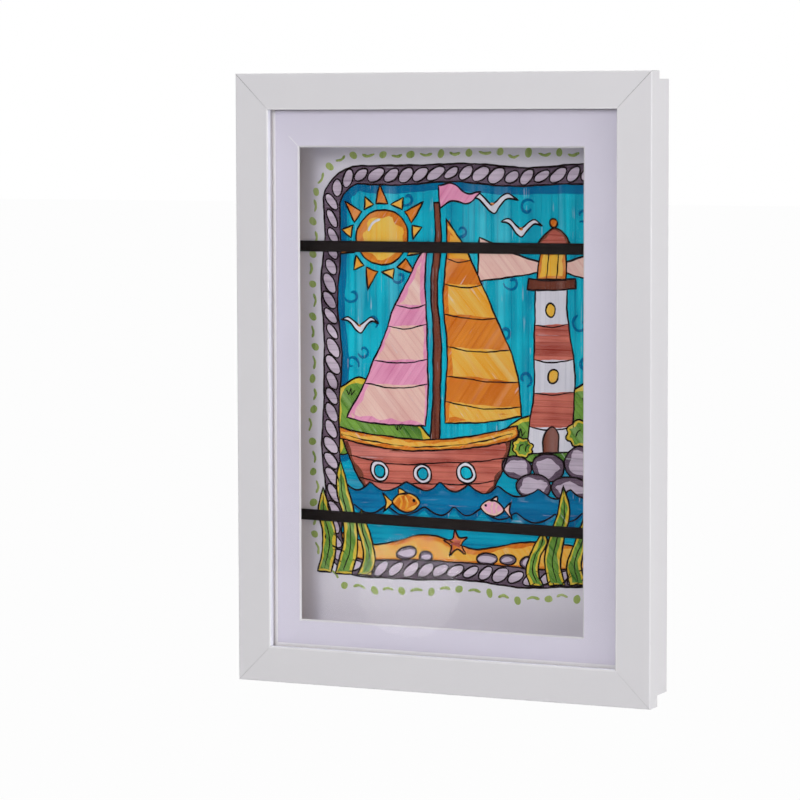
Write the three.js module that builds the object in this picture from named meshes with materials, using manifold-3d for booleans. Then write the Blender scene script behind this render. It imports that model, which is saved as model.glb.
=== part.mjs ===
// Front-opening wall frame that stores and shows children's A4 drawings.
// Millimetres, +Z up. The front faces -Y. The origin is the middle of the wall plane,
// where the back edges of the box rest on the wall.
import * as THREE from 'three';
import { mergeVertices } from 'three/addons/utils/BufferGeometryUtils.js';
import Module from 'manifold-3d';

const wasm = await Module();
wasm.setup();

// Sheet of drawing paper that the frame is made for
const sheetWidth = 210;
const sheetHeight = 297;
const sheetThick = 0.5;
const sheetRoomSide = 5;
const sheetRoomEnd = 6.5;

// Clearances
const layGap = 0.1;
const slipGap = 0.3;
const paneEdgeGap = 0.5;
const mitreGap = 0.05;
const overrun = 1;

// Box behind the door
const wallThick = 6;
const boxDepth = 23.5;
const wallArris = 0.5;
const panelThick = 3;
const panelRecess = 2.5;
const panelRebate = 3;
const panelCorner = 1.5;

// Door moulding
const doorOverhang = 4;
const mouldingWidth = 19.5;
const mouldingThick = 11;
const outerArris = 0.75;
const innerArris = 0.7;
const backArris = 0.4;
const lipDepth = 4.5;
const glazingRebate = 6;

// Clear pane and window mat
const paneThick = 1.5;
const matThick = 0.8;
const matBorderSide = 18.2;
const matBorderEnd = 17.6;
const windowShiftLeft = 2.5;
const windowShiftDown = 2.5;

// Glazing points that hold the pane and mat in the rebate
const pointThick = 0.5;
const pointWidth = 8;
const pointBite = 4;
const pointReach = 5;
const pointTip = 1.5;
const pointPlaceShare = 0.3;

// V-nails across the mitres of the door
const vnailLeg = 5;
const vnailThick = 0.4;
const vnailDepth = 6;
const vnailFromEdge = 3.5;

// Butt hinges: both leaves and the strike plates are cut from one steel sheet
const steelSheet = 0.8;
const closeGap = 0.2;
const pinRadius = 0.8;
const pinPlay = 0.08;
const pinHeadRadius = 1.35;
const pinHeadHeight = 0.6;
const hingeHeight = 32;
const hingeFromEnd = 62;
const knuckleCount = 5;
const leafReach = 9;
const leafCorner = 1;
const leafScrewInset = 7;
const leafScrewReach = 6;

// Countersunk screws for hinges and strike plates
const screwRadius = 0.8;
const screwHeadRadius = 1.6;
const screwLength = 4.5;
const screwPoint = 1.2;
const screwSlotWidth = 0.4;
const screwSlotLength = 1.9;
const screwSlotDepth = 0.4;

// Magnetic catch
const magnetRadius = 2;
const magnetThick = 3;
const magnetFromEnd = 62;
const strikeLength = 18;
const strikeWidth = 7;
const strikeCorner = 1;
const strikeScrewShift = 5;

// Brads through the back panel, and nails of the hangers
const bradRadius = 0.5;
const bradHeadRadius = 1.1;
const bradHeadThick = 0.4;
const bradLength = 9;
const bradPlaceShare = 0.31;
const nailRadius = 0.6;
const nailHeadRadius = 1.4;
const nailHeadThick = 0.5;
const nailBiteShare = 0.8;

// Elastic bands and their staples
const bandWidth = 6;
const bandThick = 1;
const bandTab = 9;
const bandBend = 1.6;
const upperBandShare = 0.463;
const upperBandDrop = -0.7;
const lowerBandShare = 0.499;
const lowerBandDrop = 3.6;
const stapleWire = 0.6;
const stapleLeg = 4;
const stapleRoom = 0.4;

// Sawtooth hangers, one for upright and one for lying display
const hangerLength = 44;
const hangerHeight = 9;
const hangerSheet = 0.7;
const hangerSink = 0.5;
const hangerFoot = 8;
const hangerRamp = 2;
const hangerFromEdge = 20;
const toothPitch = 3;
const toothDepth = 2;

// Facets of round forms
const arrisFacets = 5;
const barrelFacets = 28;
const shankFacets = 12;

// Sizes that follow
const innerWidth = sheetWidth + 2 * sheetRoomSide;
const innerHeight = sheetHeight + 2 * sheetRoomEnd;
const boxWidth = innerWidth + 2 * wallThick;
const boxHeight = innerHeight + 2 * wallThick;
const doorWidth = boxWidth + 2 * doorOverhang;
const doorHeight = boxHeight + 2 * doorOverhang;
const knuckleRadius = pinRadius + pinPlay + steelSheet;
const doorGap = layGap + steelSheet + closeGap;
const doorBackY = -(boxDepth + doorGap);
const doorFrontY = doorBackY - mouldingThick;
const panelFrontY = -(panelRecess + panelThick);
const sheetFrontY = panelFrontY - layGap - sheetThick;
const bandBackY = sheetFrontY - slipGap;
const paneFront = lipDepth + layGap;
const matFront = paneFront + paneThick + layGap;
const pointFront = matFront + matThick + layGap;
const hingeAxisX = -(boxWidth / 2 + layGap + knuckleRadius);
const hingeAxisY = doorBackY + layGap + knuckleRadius;

const FINISHES = {
  whiteFoil: { color: 0xe4e5e8, roughness: 0.42, metalness: 0 },
  clearAcrylic: { color: 0xf4f8fa, roughness: 0.05, metalness: 0, transparent: true, opacity: 0.2 },
  matCard: { color: 0xd6d2e0, roughness: 0.9, metalness: 0 },
  paper: { color: 0xf2f1ee, roughness: 0.85, metalness: 0 },
  hardboard: { color: 0xd9d7d2, roughness: 0.75, metalness: 0 },
  blackElastic: { color: 0x15161a, roughness: 0.8, metalness: 0 },
  zincSteel: { color: 0xb9bcc0, roughness: 0.35, metalness: 1 },
  nickelMagnet: { color: 0xc6c8cc, roughness: 0.22, metalness: 1 },
};

// Solids

// Turns a closed three.js geometry into a solid that can be joined and cut.
function solidFrom(geometry) {
  const bare = geometry.clone();
  bare.deleteAttribute('normal');
  bare.deleteAttribute('uv');
  const welded = mergeVertices(bare);
  return new wasm.Manifold(new wasm.Mesh({
    numProp: 3,
    vertProperties: new Float32Array(welded.attributes.position.array),
    triVerts: new Uint32Array(welded.index.array),
  }));
}

function geometryFrom(solid) {
  const { vertProperties, triVerts } = solid.getMesh();
  const geometry = new THREE.BufferGeometry();
  geometry.setAttribute('position', new THREE.BufferAttribute(vertProperties, 3));
  geometry.setIndex(new THREE.BufferAttribute(triVerts, 1));
  geometry.computeVertexNormals();
  return geometry;
}

function joined(...geometries) {
  return geometryFrom(geometries.map(solidFrom).reduce((all, next) => all.add(next)));
}

function cut(geometry, ...cutters) {
  const whole = solidFrom(geometry);
  return geometryFrom(cutters.map(solidFrom).reduce((left, cutter) => left.subtract(cutter), whole));
}

// Extrudes an outline drawn in X and Z into a slab whose front is at y = 0.
function slab(outline, thick) {
  const geometry = new THREE.ExtrudeGeometry(outline, {
    depth: thick,
    bevelEnabled: false,
    curveSegments: arrisFacets,
  });
  return geometry.rotateX(Math.PI / 2).translate(0, thick, 0);
}

function rectangle(width, height) {
  const outline = new THREE.Shape();
  outline.moveTo(-width / 2, -height / 2);
  outline.lineTo(width / 2, -height / 2);
  outline.lineTo(width / 2, height / 2);
  outline.lineTo(-width / 2, height / 2);
  outline.closePath();
  return outline;
}

function roundedRectangle(width, height, radius) {
  const right = width / 2 - radius;
  const top = height / 2 - radius;
  const outline = new THREE.Shape();
  outline.absarc(right, -top, radius, -Math.PI / 2, 0);
  outline.absarc(right, top, radius, 0, Math.PI / 2);
  outline.absarc(-right, top, radius, Math.PI / 2, Math.PI);
  outline.absarc(-right, -top, radius, Math.PI, Math.PI * 1.5);
  outline.closePath();
  return outline;
}

// Revolves [radius, depth] pairs, where depth runs from the head at y = 0 towards -Y.
function turned(profile, facets = shankFacets) {
  const points = profile.map(([radius, depth]) => new THREE.Vector2(radius, -depth)).reverse();
  return new THREE.LatheGeometry(points, facets);
}

function rodAlongZ(radius, length, facets = barrelFacets) {
  return new THREE.CylinderGeometry(radius, radius, length, facets).rotateX(Math.PI / 2);
}

function piece(name, geometry, finish) {
  const mesh = new THREE.Mesh(geometry, new THREE.MeshStandardMaterial(FINISHES[finish]));
  mesh.name = name;
  return mesh;
}

// Places

// The four sides of a rectangular frame. On each, local +X runs along the side,
// -Z points inward from the outer edge and +Y points back.
function sidesOf(width, height) {
  return {
    top: { length: width, turn: 0, x: 0, z: height / 2 },
    right: { length: height, turn: Math.PI / 2, x: width / 2, z: 0 },
    bottom: { length: width, turn: Math.PI, x: 0, z: -height / 2 },
    left: { length: height, turn: -Math.PI / 2, x: -width / 2, z: 0 },
  };
}

const doorSides = sidesOf(doorWidth, doorHeight);
const boxSides = sidesOf(boxWidth, boxHeight);

function sideGroup(side) {
  const group = new THREE.Group();
  group.position.set(side.x, 0, side.z);
  group.rotation.y = side.turn;
  return group;
}

// Cuts a pocket for each fitted piece out of the piece that holds it.
function letIn(holder, fitted) {
  const toHolder = holder.matrixWorld.clone().invert();
  const pockets = fitted.map((item) => item.userData.pocket.clone()
    .applyMatrix4(toHolder.clone().multiply(item.matrixWorld)));
  holder.geometry = cut(holder.geometry, ...pockets);
}

function fittedPiece(name, geometry, pocket, finish) {
  const mesh = piece(name, geometry, finish);
  mesh.userData.pocket = pocket;
  return mesh;
}

// Mitred mouldings

// Door section: u runs inward from the outer edge, v back from the front face.
function doorSection() {
  const ledge = mouldingWidth - glazingRebate;
  const section = new THREE.Shape();
  section.absarc(outerArris, outerArris, outerArris, Math.PI, Math.PI * 1.5);
  section.absarc(mouldingWidth - innerArris, innerArris, innerArris, -Math.PI / 2, 0);
  section.lineTo(mouldingWidth, lipDepth);
  section.lineTo(ledge, lipDepth);
  section.lineTo(ledge, mouldingThick);
  section.absarc(backArris, mouldingThick - backArris, backArris, Math.PI / 2, Math.PI);
  section.closePath();
  return section;
}

// Box section, with the back panel's rebate at the rear inner edge.
function wallSection() {
  const shoulder = boxDepth - panelRecess - panelThick - layGap;
  const section = new THREE.Shape();
  section.absarc(wallArris, wallArris, wallArris, Math.PI, Math.PI * 1.5);
  section.absarc(wallThick - wallArris, wallArris, wallArris, -Math.PI / 2, 0);
  section.lineTo(wallThick, shoulder);
  section.lineTo(wallThick - panelRebate, shoulder);
  section.lineTo(wallThick - panelRebate, boxDepth);
  section.absarc(wallArris, boxDepth - wallArris, wallArris, Math.PI / 2, Math.PI);
  section.closePath();
  return section;
}

// Extrudes a section along X and shears both ends to 45 degrees.
function mitredBar(section, length) {
  const geometry = new THREE.ExtrudeGeometry(section, {
    depth: length,
    bevelEnabled: false,
    curveSegments: arrisFacets,
  });
  geometry.rotateY(Math.PI / 2).translate(-length / 2, 0, 0);
  const { position } = geometry.attributes;
  for (let i = 0; i < position.count; i += 1) {
    const x = position.getX(i);
    const inward = -position.getZ(i);
    position.setX(i, x - Math.sign(x) * (inward + mitreGap));
  }
  return geometry;
}

function mitredFrame(sides, section, names) {
  const group = new THREE.Group();
  for (const [side, name] of Object.entries(names)) {
    const place = sideGroup(sides[side]);
    place.add(piece(name, mitredBar(section, sides[side].length), 'whiteFoil'));
    group.add(place);
  }
  return group;
}

// Pane and mat

const glazingWidth = doorWidth - 2 * (mouldingWidth - glazingRebate + paneEdgeGap);
const glazingHeight = doorHeight - 2 * (mouldingWidth - glazingRebate + paneEdgeGap);

function clearPane() {
  const pane = piece('clear_pane', slab(rectangle(glazingWidth, glazingHeight), paneThick), 'clearAcrylic');
  pane.position.y = paneFront;
  return pane;
}

// Cutter for the mat window: its sides slope at 45 degrees, wider at the front.
function bevelCutter(width, height) {
  const depth = matThick + 2 * overrun;
  const geometry = slab(rectangle(width, height), depth)
    .translate(-windowShiftLeft, -overrun, -windowShiftDown);
  const { position } = geometry.attributes;
  for (let i = 0; i < position.count; i += 1) {
    const grow = matThick - position.getY(i);
    const sideX = Math.sign(position.getX(i) + windowShiftLeft);
    const sideZ = Math.sign(position.getZ(i) + windowShiftDown);
    position.setX(i, position.getX(i) + sideX * grow);
    position.setZ(i, position.getZ(i) + sideZ * grow);
  }
  return geometry;
}

function windowMat() {
  const windowWidth = doorWidth - 2 * (mouldingWidth + matBorderSide);
  const windowHeight = doorHeight - 2 * (mouldingWidth + matBorderEnd);
  const card = slab(rectangle(glazingWidth, glazingHeight), matThick);
  const mat = piece('window_mat', cut(card, bevelCutter(windowWidth, windowHeight)), 'matCard');
  mat.position.y = matFront;
  return mat;
}

// Glazing point: a flat steel tongue driven into the rebate's side.
function pointOutline(grow) {
  const half = pointWidth / 2 + grow;
  const outline = new THREE.Shape();
  outline.moveTo(-half, pointBite + grow);
  outline.lineTo(-half, -pointReach + pointTip);
  outline.lineTo(-half + pointTip, -pointReach);
  outline.lineTo(half - pointTip, -pointReach);
  outline.lineTo(half, -pointReach + pointTip);
  outline.lineTo(half, pointBite + grow);
  outline.closePath();
  return outline;
}

function glazingPoint(name, side, along) {
  const tongue = slab(pointOutline(0), pointThick);
  const pocket = slab(pointOutline(layGap), pointThick + 2 * layGap).translate(0, -layGap, 0);
  const point = fittedPiece(name, tongue, pocket, 'zincSteel');
  point.position.set(along, pointFront, -(mouldingWidth - glazingRebate));
  const place = sideGroup(side);
  place.add(point);
  return place;
}

function glazingPoints() {
  const group = new THREE.Group();
  const reach = doorHeight * pointPlaceShare;
  group.add(glazingPoint('glazing_point_top', doorSides.top, 0));
  group.add(glazingPoint('glazing_point_bottom', doorSides.bottom, 0));
  group.add(glazingPoint('glazing_point_left_low', doorSides.left, -reach));
  group.add(glazingPoint('glazing_point_left_high', doorSides.left, reach));
  group.add(glazingPoint('glazing_point_right_high', doorSides.right, -reach));
  group.add(glazingPoint('glazing_point_right_low', doorSides.right, reach));
  return group;
}

// V-nail: two thin legs at a right angle, whose corner lies on the mitre.
function vnailOutline(grow) {
  const near = vnailThick / 2 + grow;
  const far = vnailLeg + grow;
  const outline = new THREE.Shape();
  outline.moveTo(-near, near);
  outline.lineTo(-near, -far);
  outline.lineTo(near, -far);
  outline.lineTo(near, -near);
  outline.lineTo(far, -near);
  outline.lineTo(far, near);
  outline.closePath();
  return outline;
}

function vnail(name, side) {
  const legs = slab(vnailOutline(0), vnailDepth);
  const pocket = slab(vnailOutline(layGap), vnailDepth + layGap + overrun).translate(0, -layGap, 0);
  const nail = fittedPiece(name, legs, pocket, 'zincSteel');
  nail.position.set(vnailFromEdge - side.length / 2, mouldingThick - vnailDepth, -vnailFromEdge);
  const place = sideGroup(side);
  place.add(nail);
  return place;
}

function vnails() {
  const group = new THREE.Group();
  group.add(vnail('corner_nail_top_left', doorSides.top));
  group.add(vnail('corner_nail_top_right', doorSides.right));
  group.add(vnail('corner_nail_bottom_right', doorSides.bottom));
  group.add(vnail('corner_nail_bottom_left', doorSides.left));
  return group;
}

// Screws, brads and nails

function screwProfile(grow) {
  return [
    [0, 0],
    [screwHeadRadius + grow, 0],
    [screwRadius + grow, screwHeadRadius - screwRadius],
    [screwRadius + grow, screwLength - screwPoint],
    [0, screwLength + grow],
  ];
}

function countersunkScrew(name) {
  const slot = new THREE.BoxGeometry(screwSlotLength, 2 * screwSlotDepth, screwSlotWidth);
  const crossSlot = slot.clone().rotateY(Math.PI / 2);
  const body = cut(turned(screwProfile(0)), slot, crossSlot);
  const mouth = new THREE.CylinderGeometry(
    screwHeadRadius + layGap,
    screwHeadRadius + layGap,
    overrun,
    shankFacets,
  ).translate(0, overrun / 2, 0);
  return fittedPiece(name, body, joined(turned(screwProfile(layGap)), mouth), 'zincSteel');
}

// A headed steel pin driven towards -Y, its head's underside at y = 0.
function headedPin(name, radius, headRadius, headThick, length) {
  const body = turned([
    [0, -headThick],
    [headRadius, -headThick],
    [headRadius, 0],
    [radius, 0],
    [radius, length - radius],
    [0, length],
  ]);
  const pocket = turned([
    [0, -overrun],
    [radius + layGap, -overrun],
    [radius + layGap, length - radius],
    [0, length + layGap],
  ]);
  return fittedPiece(name, body, pocket, 'zincSteel');
}

// Butt hinges

// Every second knuckle belongs to one leaf, with the slip gap between neighbours.
function knuckles(first) {
  const pitch = hingeHeight / knuckleCount;
  const length = pitch - slipGap;
  const rings = [];
  for (let i = first; i < knuckleCount; i += 2) {
    const centre = (i + 0.5) * pitch - hingeHeight / 2;
    rings.push(rodAlongZ(knuckleRadius, length).translate(0, 0, centre));
    rings.push(new THREE.BoxGeometry(leafReach / 2, steelSheet, length)
      .translate(leafReach / 4, steelSheet / 2 - knuckleRadius, centre));
  }
  return rings;
}

// A leaf lies along +X, against the wood at its -Y face, with its curl round the Z axis.
function leafBlank(first) {
  const start = Math.sqrt((knuckleRadius + slipGap) ** 2 - (knuckleRadius - steelSheet) ** 2);
  const width = leafReach - start;
  const plate = slab(roundedRectangle(width, hingeHeight, leafCorner), steelSheet)
    .translate(start + width / 2, -knuckleRadius, 0);
  const bore = rodAlongZ(pinRadius + pinPlay, hingeHeight + 2 * overrun);
  return cut(joined(plate, ...knuckles(first)), bore);
}

function hingeLeaf(label, first) {
  const group = new THREE.Group();
  group.add(piece(`${label}_leaf`, leafBlank(first), 'zincSteel'));
  for (const [end, direction] of Object.entries({ high: 1, low: -1 })) {
    const screw = countersunkScrew(`${label}_screw_${end}`);
    const z = direction * (hingeHeight / 2 - leafScrewInset);
    screw.position.set(leafScrewReach, steelSheet - knuckleRadius, z);
    group.add(screw);
  }
  return group;
}

// The pin's heads stand just clear of the end knuckles.
function hingePin(name) {
  const half = hingeHeight / 2;
  const top = half + pinHeadHeight;
  const profile = [[0, -top], [pinHeadRadius, -top], [pinHeadRadius, -half], [pinRadius, -half],
    [pinRadius, half], [pinHeadRadius, half], [pinHeadRadius, top], [0, top]];
  return piece(name, turned(profile, barrelFacets).rotateX(Math.PI / 2), 'zincSteel');
}

function buttHinge(label, z) {
  const hinge = new THREE.Group();
  hinge.position.set(hingeAxisX, hingeAxisY, z);
  const boxLeaf = hingeLeaf(`hinge_${label}_box`, 0);
  boxLeaf.rotation.z = Math.PI / 2;
  hinge.add(boxLeaf, hingeLeaf(`hinge_${label}_door`, 1), hingePin(`hinge_${label}_pin`));
  return hinge;
}

// Magnetic catch

function magnet(name, z) {
  const disc = new THREE.CylinderGeometry(magnetRadius, magnetRadius, magnetThick, barrelFacets);
  const room = magnetThick + layGap + overrun;
  const pocket = new THREE.CylinderGeometry(magnetRadius + layGap, magnetRadius + layGap, room, barrelFacets)
    .translate(0, (layGap - overrun) / 2, 0);
  const mesh = fittedPiece(name, disc, pocket, 'nickelMagnet');
  mesh.position.set(boxWidth / 2 - wallThick / 2, -boxDepth + magnetThick / 2, z);
  return mesh;
}

function strikePlate(name, z) {
  const outline = roundedRectangle(strikeWidth, strikeLength, strikeCorner);
  const plate = piece(name, slab(outline, steelSheet), 'zincSteel');
  plate.position.set(boxWidth / 2 - wallThick / 2, doorBackY + layGap, z);
  return plate;
}

function strikeScrew(name, z) {
  const screw = countersunkScrew(name);
  screw.position.set(boxWidth / 2 - wallThick / 2, doorBackY + layGap + steelSheet, z);
  return screw;
}

// Back of the box

function backPanel() {
  const width = innerWidth + 2 * (panelRebate - slipGap);
  const height = innerHeight + 2 * (panelRebate - slipGap);
  const board = slab(roundedRectangle(width, height, panelCorner), panelThick);
  const panel = piece('back_panel', board, 'hardboard');
  panel.position.y = panelFrontY;
  return panel;
}

function panelBrads() {
  const group = new THREE.Group();
  const sideX = innerWidth / 2 + panelRebate / 2;
  const endZ = innerHeight / 2 + panelRebate / 2;
  const highZ = innerHeight * bradPlaceShare;
  const places = {
    top: [0, endZ],
    bottom: [0, -endZ],
    left_high: [-sideX, highZ],
    left_low: [-sideX, -highZ],
    right_high: [sideX, highZ],
    right_low: [sideX, -highZ],
  };
  for (const [label, [x, z]] of Object.entries(places)) {
    const brad = headedPin(`panel_brad_${label}`, bradRadius, bradHeadRadius, bradHeadThick, bradLength);
    brad.position.set(x, layGap - panelRecess, z);
    group.add(brad);
  }
  return group;
}

// Hanger strip: flat feet on the panel and a raised middle whose lower edge is toothed.
function hangerStrip() {
  const rise = panelRecess - layGap - hangerSheet - hangerSink;
  const end = hangerLength / 2;
  const foot = end - hangerFoot;
  const lift = foot - hangerRamp;
  const outline = new THREE.Shape([
    [-end, 0], [-foot, 0], [-lift, rise], [lift, rise], [foot, 0], [end, 0],
    [end, hangerSheet], [foot, hangerSheet], [lift, rise + hangerSheet],
    [-lift, rise + hangerSheet], [-foot, hangerSheet], [-end, hangerSheet],
  ].map(([x, y]) => new THREE.Vector2(x, y)));
  const strip = new THREE.ExtrudeGeometry(outline, { depth: hangerHeight, bevelEnabled: false });
  return cut(strip.translate(0, 0, -hangerHeight / 2), toothComb(2 * (lift - toothPitch / 2)));
}

function toothComb(room) {
  const count = Math.floor(room / toothPitch);
  const half = count * toothPitch / 2;
  const edge = -hangerHeight / 2;
  const comb = new THREE.Shape();
  comb.moveTo(-half, edge - overrun);
  comb.lineTo(half, edge - overrun);
  comb.lineTo(half, edge);
  for (let i = count - 1; i >= 0; i -= 1) {
    comb.lineTo(-half + (i + 0.5) * toothPitch, edge + toothDepth);
    comb.lineTo(-half + i * toothPitch, edge);
  }
  comb.closePath();
  return slab(comb, panelRecess + 2 * overrun).translate(0, -overrun, 0);
}

function sawtoothHanger(label, side, distance) {
  const place = sideGroup({ ...side, x: 0, z: 0 });
  const strip = piece(`hanger_${label}`, hangerStrip(), 'zincSteel');
  strip.position.set(0, layGap - panelRecess, distance);
  place.add(strip);
  for (const [end, direction] of Object.entries({ left: -1, right: 1 })) {
    const bite = layGap + hangerSheet + panelThick * nailBiteShare;
    const nail = headedPin(`hanger_${label}_nail_${end}`, nailRadius, nailHeadRadius, nailHeadThick, bite);
    const x = direction * (hangerLength / 2 - hangerFoot / 2);
    nail.position.set(x, 2 * layGap + hangerSheet - panelRecess, distance);
    place.add(nail);
  }
  return place;
}

// Drawing and elastic bands

function artSheet() {
  const sheet = piece('art_sheet', slab(rectangle(sheetWidth, sheetHeight), sheetThick), 'paper');
  sheet.position.set(0, sheetFrontY, (sheetHeight - innerHeight) / 2 + slipGap);
  return sheet;
}

// Seen from above: a strip across the box whose ends turn forward along the side walls.
function bandOutline() {
  const wall = innerWidth / 2 - layGap;
  const bend = wall - bandBend;
  const inner = bandBend - bandThick;
  const turnY = bandBackY - bandBend;
  const endY = bandBackY - bandThick - bandTab;
  const outline = new THREE.Shape();
  outline.moveTo(wall - bandThick, endY);
  outline.lineTo(wall, endY);
  outline.absarc(bend, turnY, bandBend, 0, Math.PI / 2);
  outline.absarc(-bend, turnY, bandBend, Math.PI / 2, Math.PI);
  outline.lineTo(-wall, endY);
  outline.lineTo(bandThick - wall, endY);
  outline.absarc(-bend, turnY, inner, Math.PI, Math.PI / 2, true);
  outline.absarc(bend, turnY, inner, Math.PI / 2, 0, true);
  outline.closePath();
  return outline;
}

function elasticBand(label, z, drop) {
  const strip = new THREE.ExtrudeGeometry(bandOutline(), {
    depth: bandWidth,
    bevelEnabled: false,
    curveSegments: arrisFacets,
  });
  const slope = -drop / (innerWidth - 2 * layGap - bandThick);
  strip.translate(0, 0, -bandWidth / 2).applyMatrix4(new THREE.Matrix4().makeShear(0, slope, 0, 0, 0, 0));
  const band = piece(`elastic_band_${label}`, strip, 'blackElastic');
  band.position.z = z;
  return band;
}

// Staple: its crown lies across the band and its legs run towards -X into the wall.
function stapleOutline(grow) {
  const inside = bandWidth / 2 + stapleRoom;
  const outside = inside + stapleWire;
  const tip = stapleWire + stapleLeg + grow;
  const outline = new THREE.Shape();
  outline.moveTo(0, -outside - grow);
  outline.lineTo(0, outside + grow);
  outline.lineTo(-tip, outside + grow);
  outline.lineTo(-tip, inside - grow);
  outline.lineTo(-stapleWire, inside - grow);
  outline.lineTo(-stapleWire, grow - inside);
  outline.lineTo(-tip, grow - inside);
  outline.lineTo(-tip, -outside - grow);
  outline.closePath();
  return outline;
}

function bandStaple(name, direction, z) {
  const wire = slab(stapleOutline(0), stapleWire);
  const pocket = slab(stapleOutline(layGap), stapleWire + 2 * layGap).translate(0, -layGap, 0);
  const staple = fittedPiece(name, wire, pocket, 'zincSteel');
  const crown = innerWidth / 2 - 2 * layGap - bandThick - stapleWire;
  const tabMiddle = bandBackY - bandThick - bandTab / 2;
  staple.position.set(direction * crown, tabMiddle, z);
  staple.rotation.z = direction > 0 ? Math.PI : 0;
  return staple;
}

function bandSet(label, z, drop) {
  const group = new THREE.Group();
  group.add(elasticBand(label, z, drop));
  group.add(bandStaple(`band_staple_${label}_left`, -1, z + drop / 2));
  group.add(bandStaple(`band_staple_${label}_right`, 1, z - drop / 2));
  return group;
}

// Assembly

function door() {
  const group = new THREE.Group();
  group.position.y = doorFrontY;
  group.add(mitredFrame(doorSides, doorSection(), {
    top: 'door_rail_top',
    right: 'door_stile_right',
    bottom: 'door_rail_bottom',
    left: 'door_stile_left',
  }));
  group.add(clearPane(), windowMat(), glazingPoints(), vnails());
  return group;
}

function box() {
  const group = new THREE.Group();
  const walls = mitredFrame(boxSides, wallSection(), {
    top: 'box_wall_top',
    right: 'box_wall_right',
    bottom: 'box_wall_bottom',
    left: 'box_wall_left',
  });
  walls.position.y = -boxDepth;
  group.add(walls, backPanel(), panelBrads(), artSheet());
  group.add(sawtoothHanger('upright', boxSides.top, innerHeight / 2 - hangerFromEdge));
  group.add(sawtoothHanger('lying', boxSides.left, innerWidth / 2 - hangerFromEdge));
  group.add(bandSet('upper', upperBandShare * innerHeight / 2, upperBandDrop));
  group.add(bandSet('lower', -lowerBandShare * innerHeight / 2, lowerBandDrop));
  return group;
}

function hardware() {
  const group = new THREE.Group();
  const hingeZ = boxHeight / 2 - hingeFromEnd;
  const magnetZ = boxHeight / 2 - magnetFromEnd;
  group.add(buttHinge('upper', hingeZ), buttHinge('lower', -hingeZ));
  group.add(magnet('magnet_upper', magnetZ), magnet('magnet_lower', -magnetZ));
  group.add(strikePlate('strike_plate_upper', magnetZ), strikePlate('strike_plate_lower', -magnetZ));
  group.add(strikeScrew('strike_screw_upper', magnetZ + strikeScrewShift));
  group.add(strikeScrew('strike_screw_lower', -magnetZ - strikeScrewShift));
  return group;
}

const artFrame = new THREE.Group();
artFrame.name = 'childrens_art_frame';
artFrame.add(box(), door(), hardware());
artFrame.updateMatrixWorld(true);

const named = (name) => artFrame.getObjectByName(name);
const fittedBy = (start, ...ends) => ends.map((end) => named(start + end));

// Which fitted pieces each holder is drilled or cut for
letIn(named('door_rail_top'), [
  ...fittedBy('glazing_point_', 'top'),
  ...fittedBy('corner_nail_', 'top_left', 'top_right'),
]);
letIn(named('door_rail_bottom'), [
  ...fittedBy('glazing_point_', 'bottom'),
  ...fittedBy('corner_nail_', 'bottom_left', 'bottom_right'),
]);
letIn(named('door_stile_left'), [
  ...fittedBy('glazing_point_', 'left_low', 'left_high'),
  ...fittedBy('corner_nail_', 'top_left', 'bottom_left'),
  ...fittedBy('hinge_upper_door_screw_', 'high', 'low'),
  ...fittedBy('hinge_lower_door_screw_', 'high', 'low'),
]);
letIn(named('door_stile_right'), [
  ...fittedBy('glazing_point_', 'right_low', 'right_high'),
  ...fittedBy('corner_nail_', 'top_right', 'bottom_right'),
  ...fittedBy('strike_screw_', 'upper', 'lower'),
]);
letIn(named('box_wall_top'), fittedBy('panel_brad_', 'top'));
letIn(named('box_wall_bottom'), fittedBy('panel_brad_', 'bottom'));
letIn(named('box_wall_left'), [
  ...fittedBy('hinge_upper_box_screw_', 'high', 'low'),
  ...fittedBy('hinge_lower_box_screw_', 'high', 'low'),
  ...fittedBy('band_staple_', 'upper_left', 'lower_left'),
  ...fittedBy('panel_brad_', 'left_high', 'left_low'),
]);
letIn(named('box_wall_right'), [
  ...fittedBy('magnet_', 'upper', 'lower'),
  ...fittedBy('band_staple_', 'upper_right', 'lower_right'),
  ...fittedBy('panel_brad_', 'right_high', 'right_low'),
]);
letIn(named('back_panel'), [
  ...fittedBy('panel_brad_', 'top', 'bottom', 'left_high', 'left_low', 'right_high', 'right_low'),
  ...fittedBy('hanger_', 'upright_nail_left', 'upright_nail_right', 'lying_nail_left', 'lying_nail_right'),
]);
for (const label of ['upper', 'lower']) {
  for (const holder of ['box', 'door']) {
    letIn(named(`hinge_${label}_${holder}_leaf`), fittedBy(`hinge_${label}_${holder}_screw_`, 'high', 'low'));
  }
  letIn(named(`strike_plate_${label}`), fittedBy('strike_screw_', label));
}
for (const label of ['upright', 'lying']) {
  letIn(named(`hanger_${label}`), fittedBy(`hanger_${label}_nail_`, 'left', 'right'));
}

export default artFrame;
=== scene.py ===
"""Looks of a front-opening frame for children's drawings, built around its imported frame.

Every length is in metres in the frame's own axes: +Z is up, the front faces -Y and the origin
lies on the wall. The drawing on the sheet is laid out in millimetres from the sheet's middle.
"""

import logging
import math
import random
from dataclasses import dataclass, field
from enum import Enum
from typing import Iterable, Sequence, Union

import bpy
from mathutils import Matrix, Vector

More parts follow.
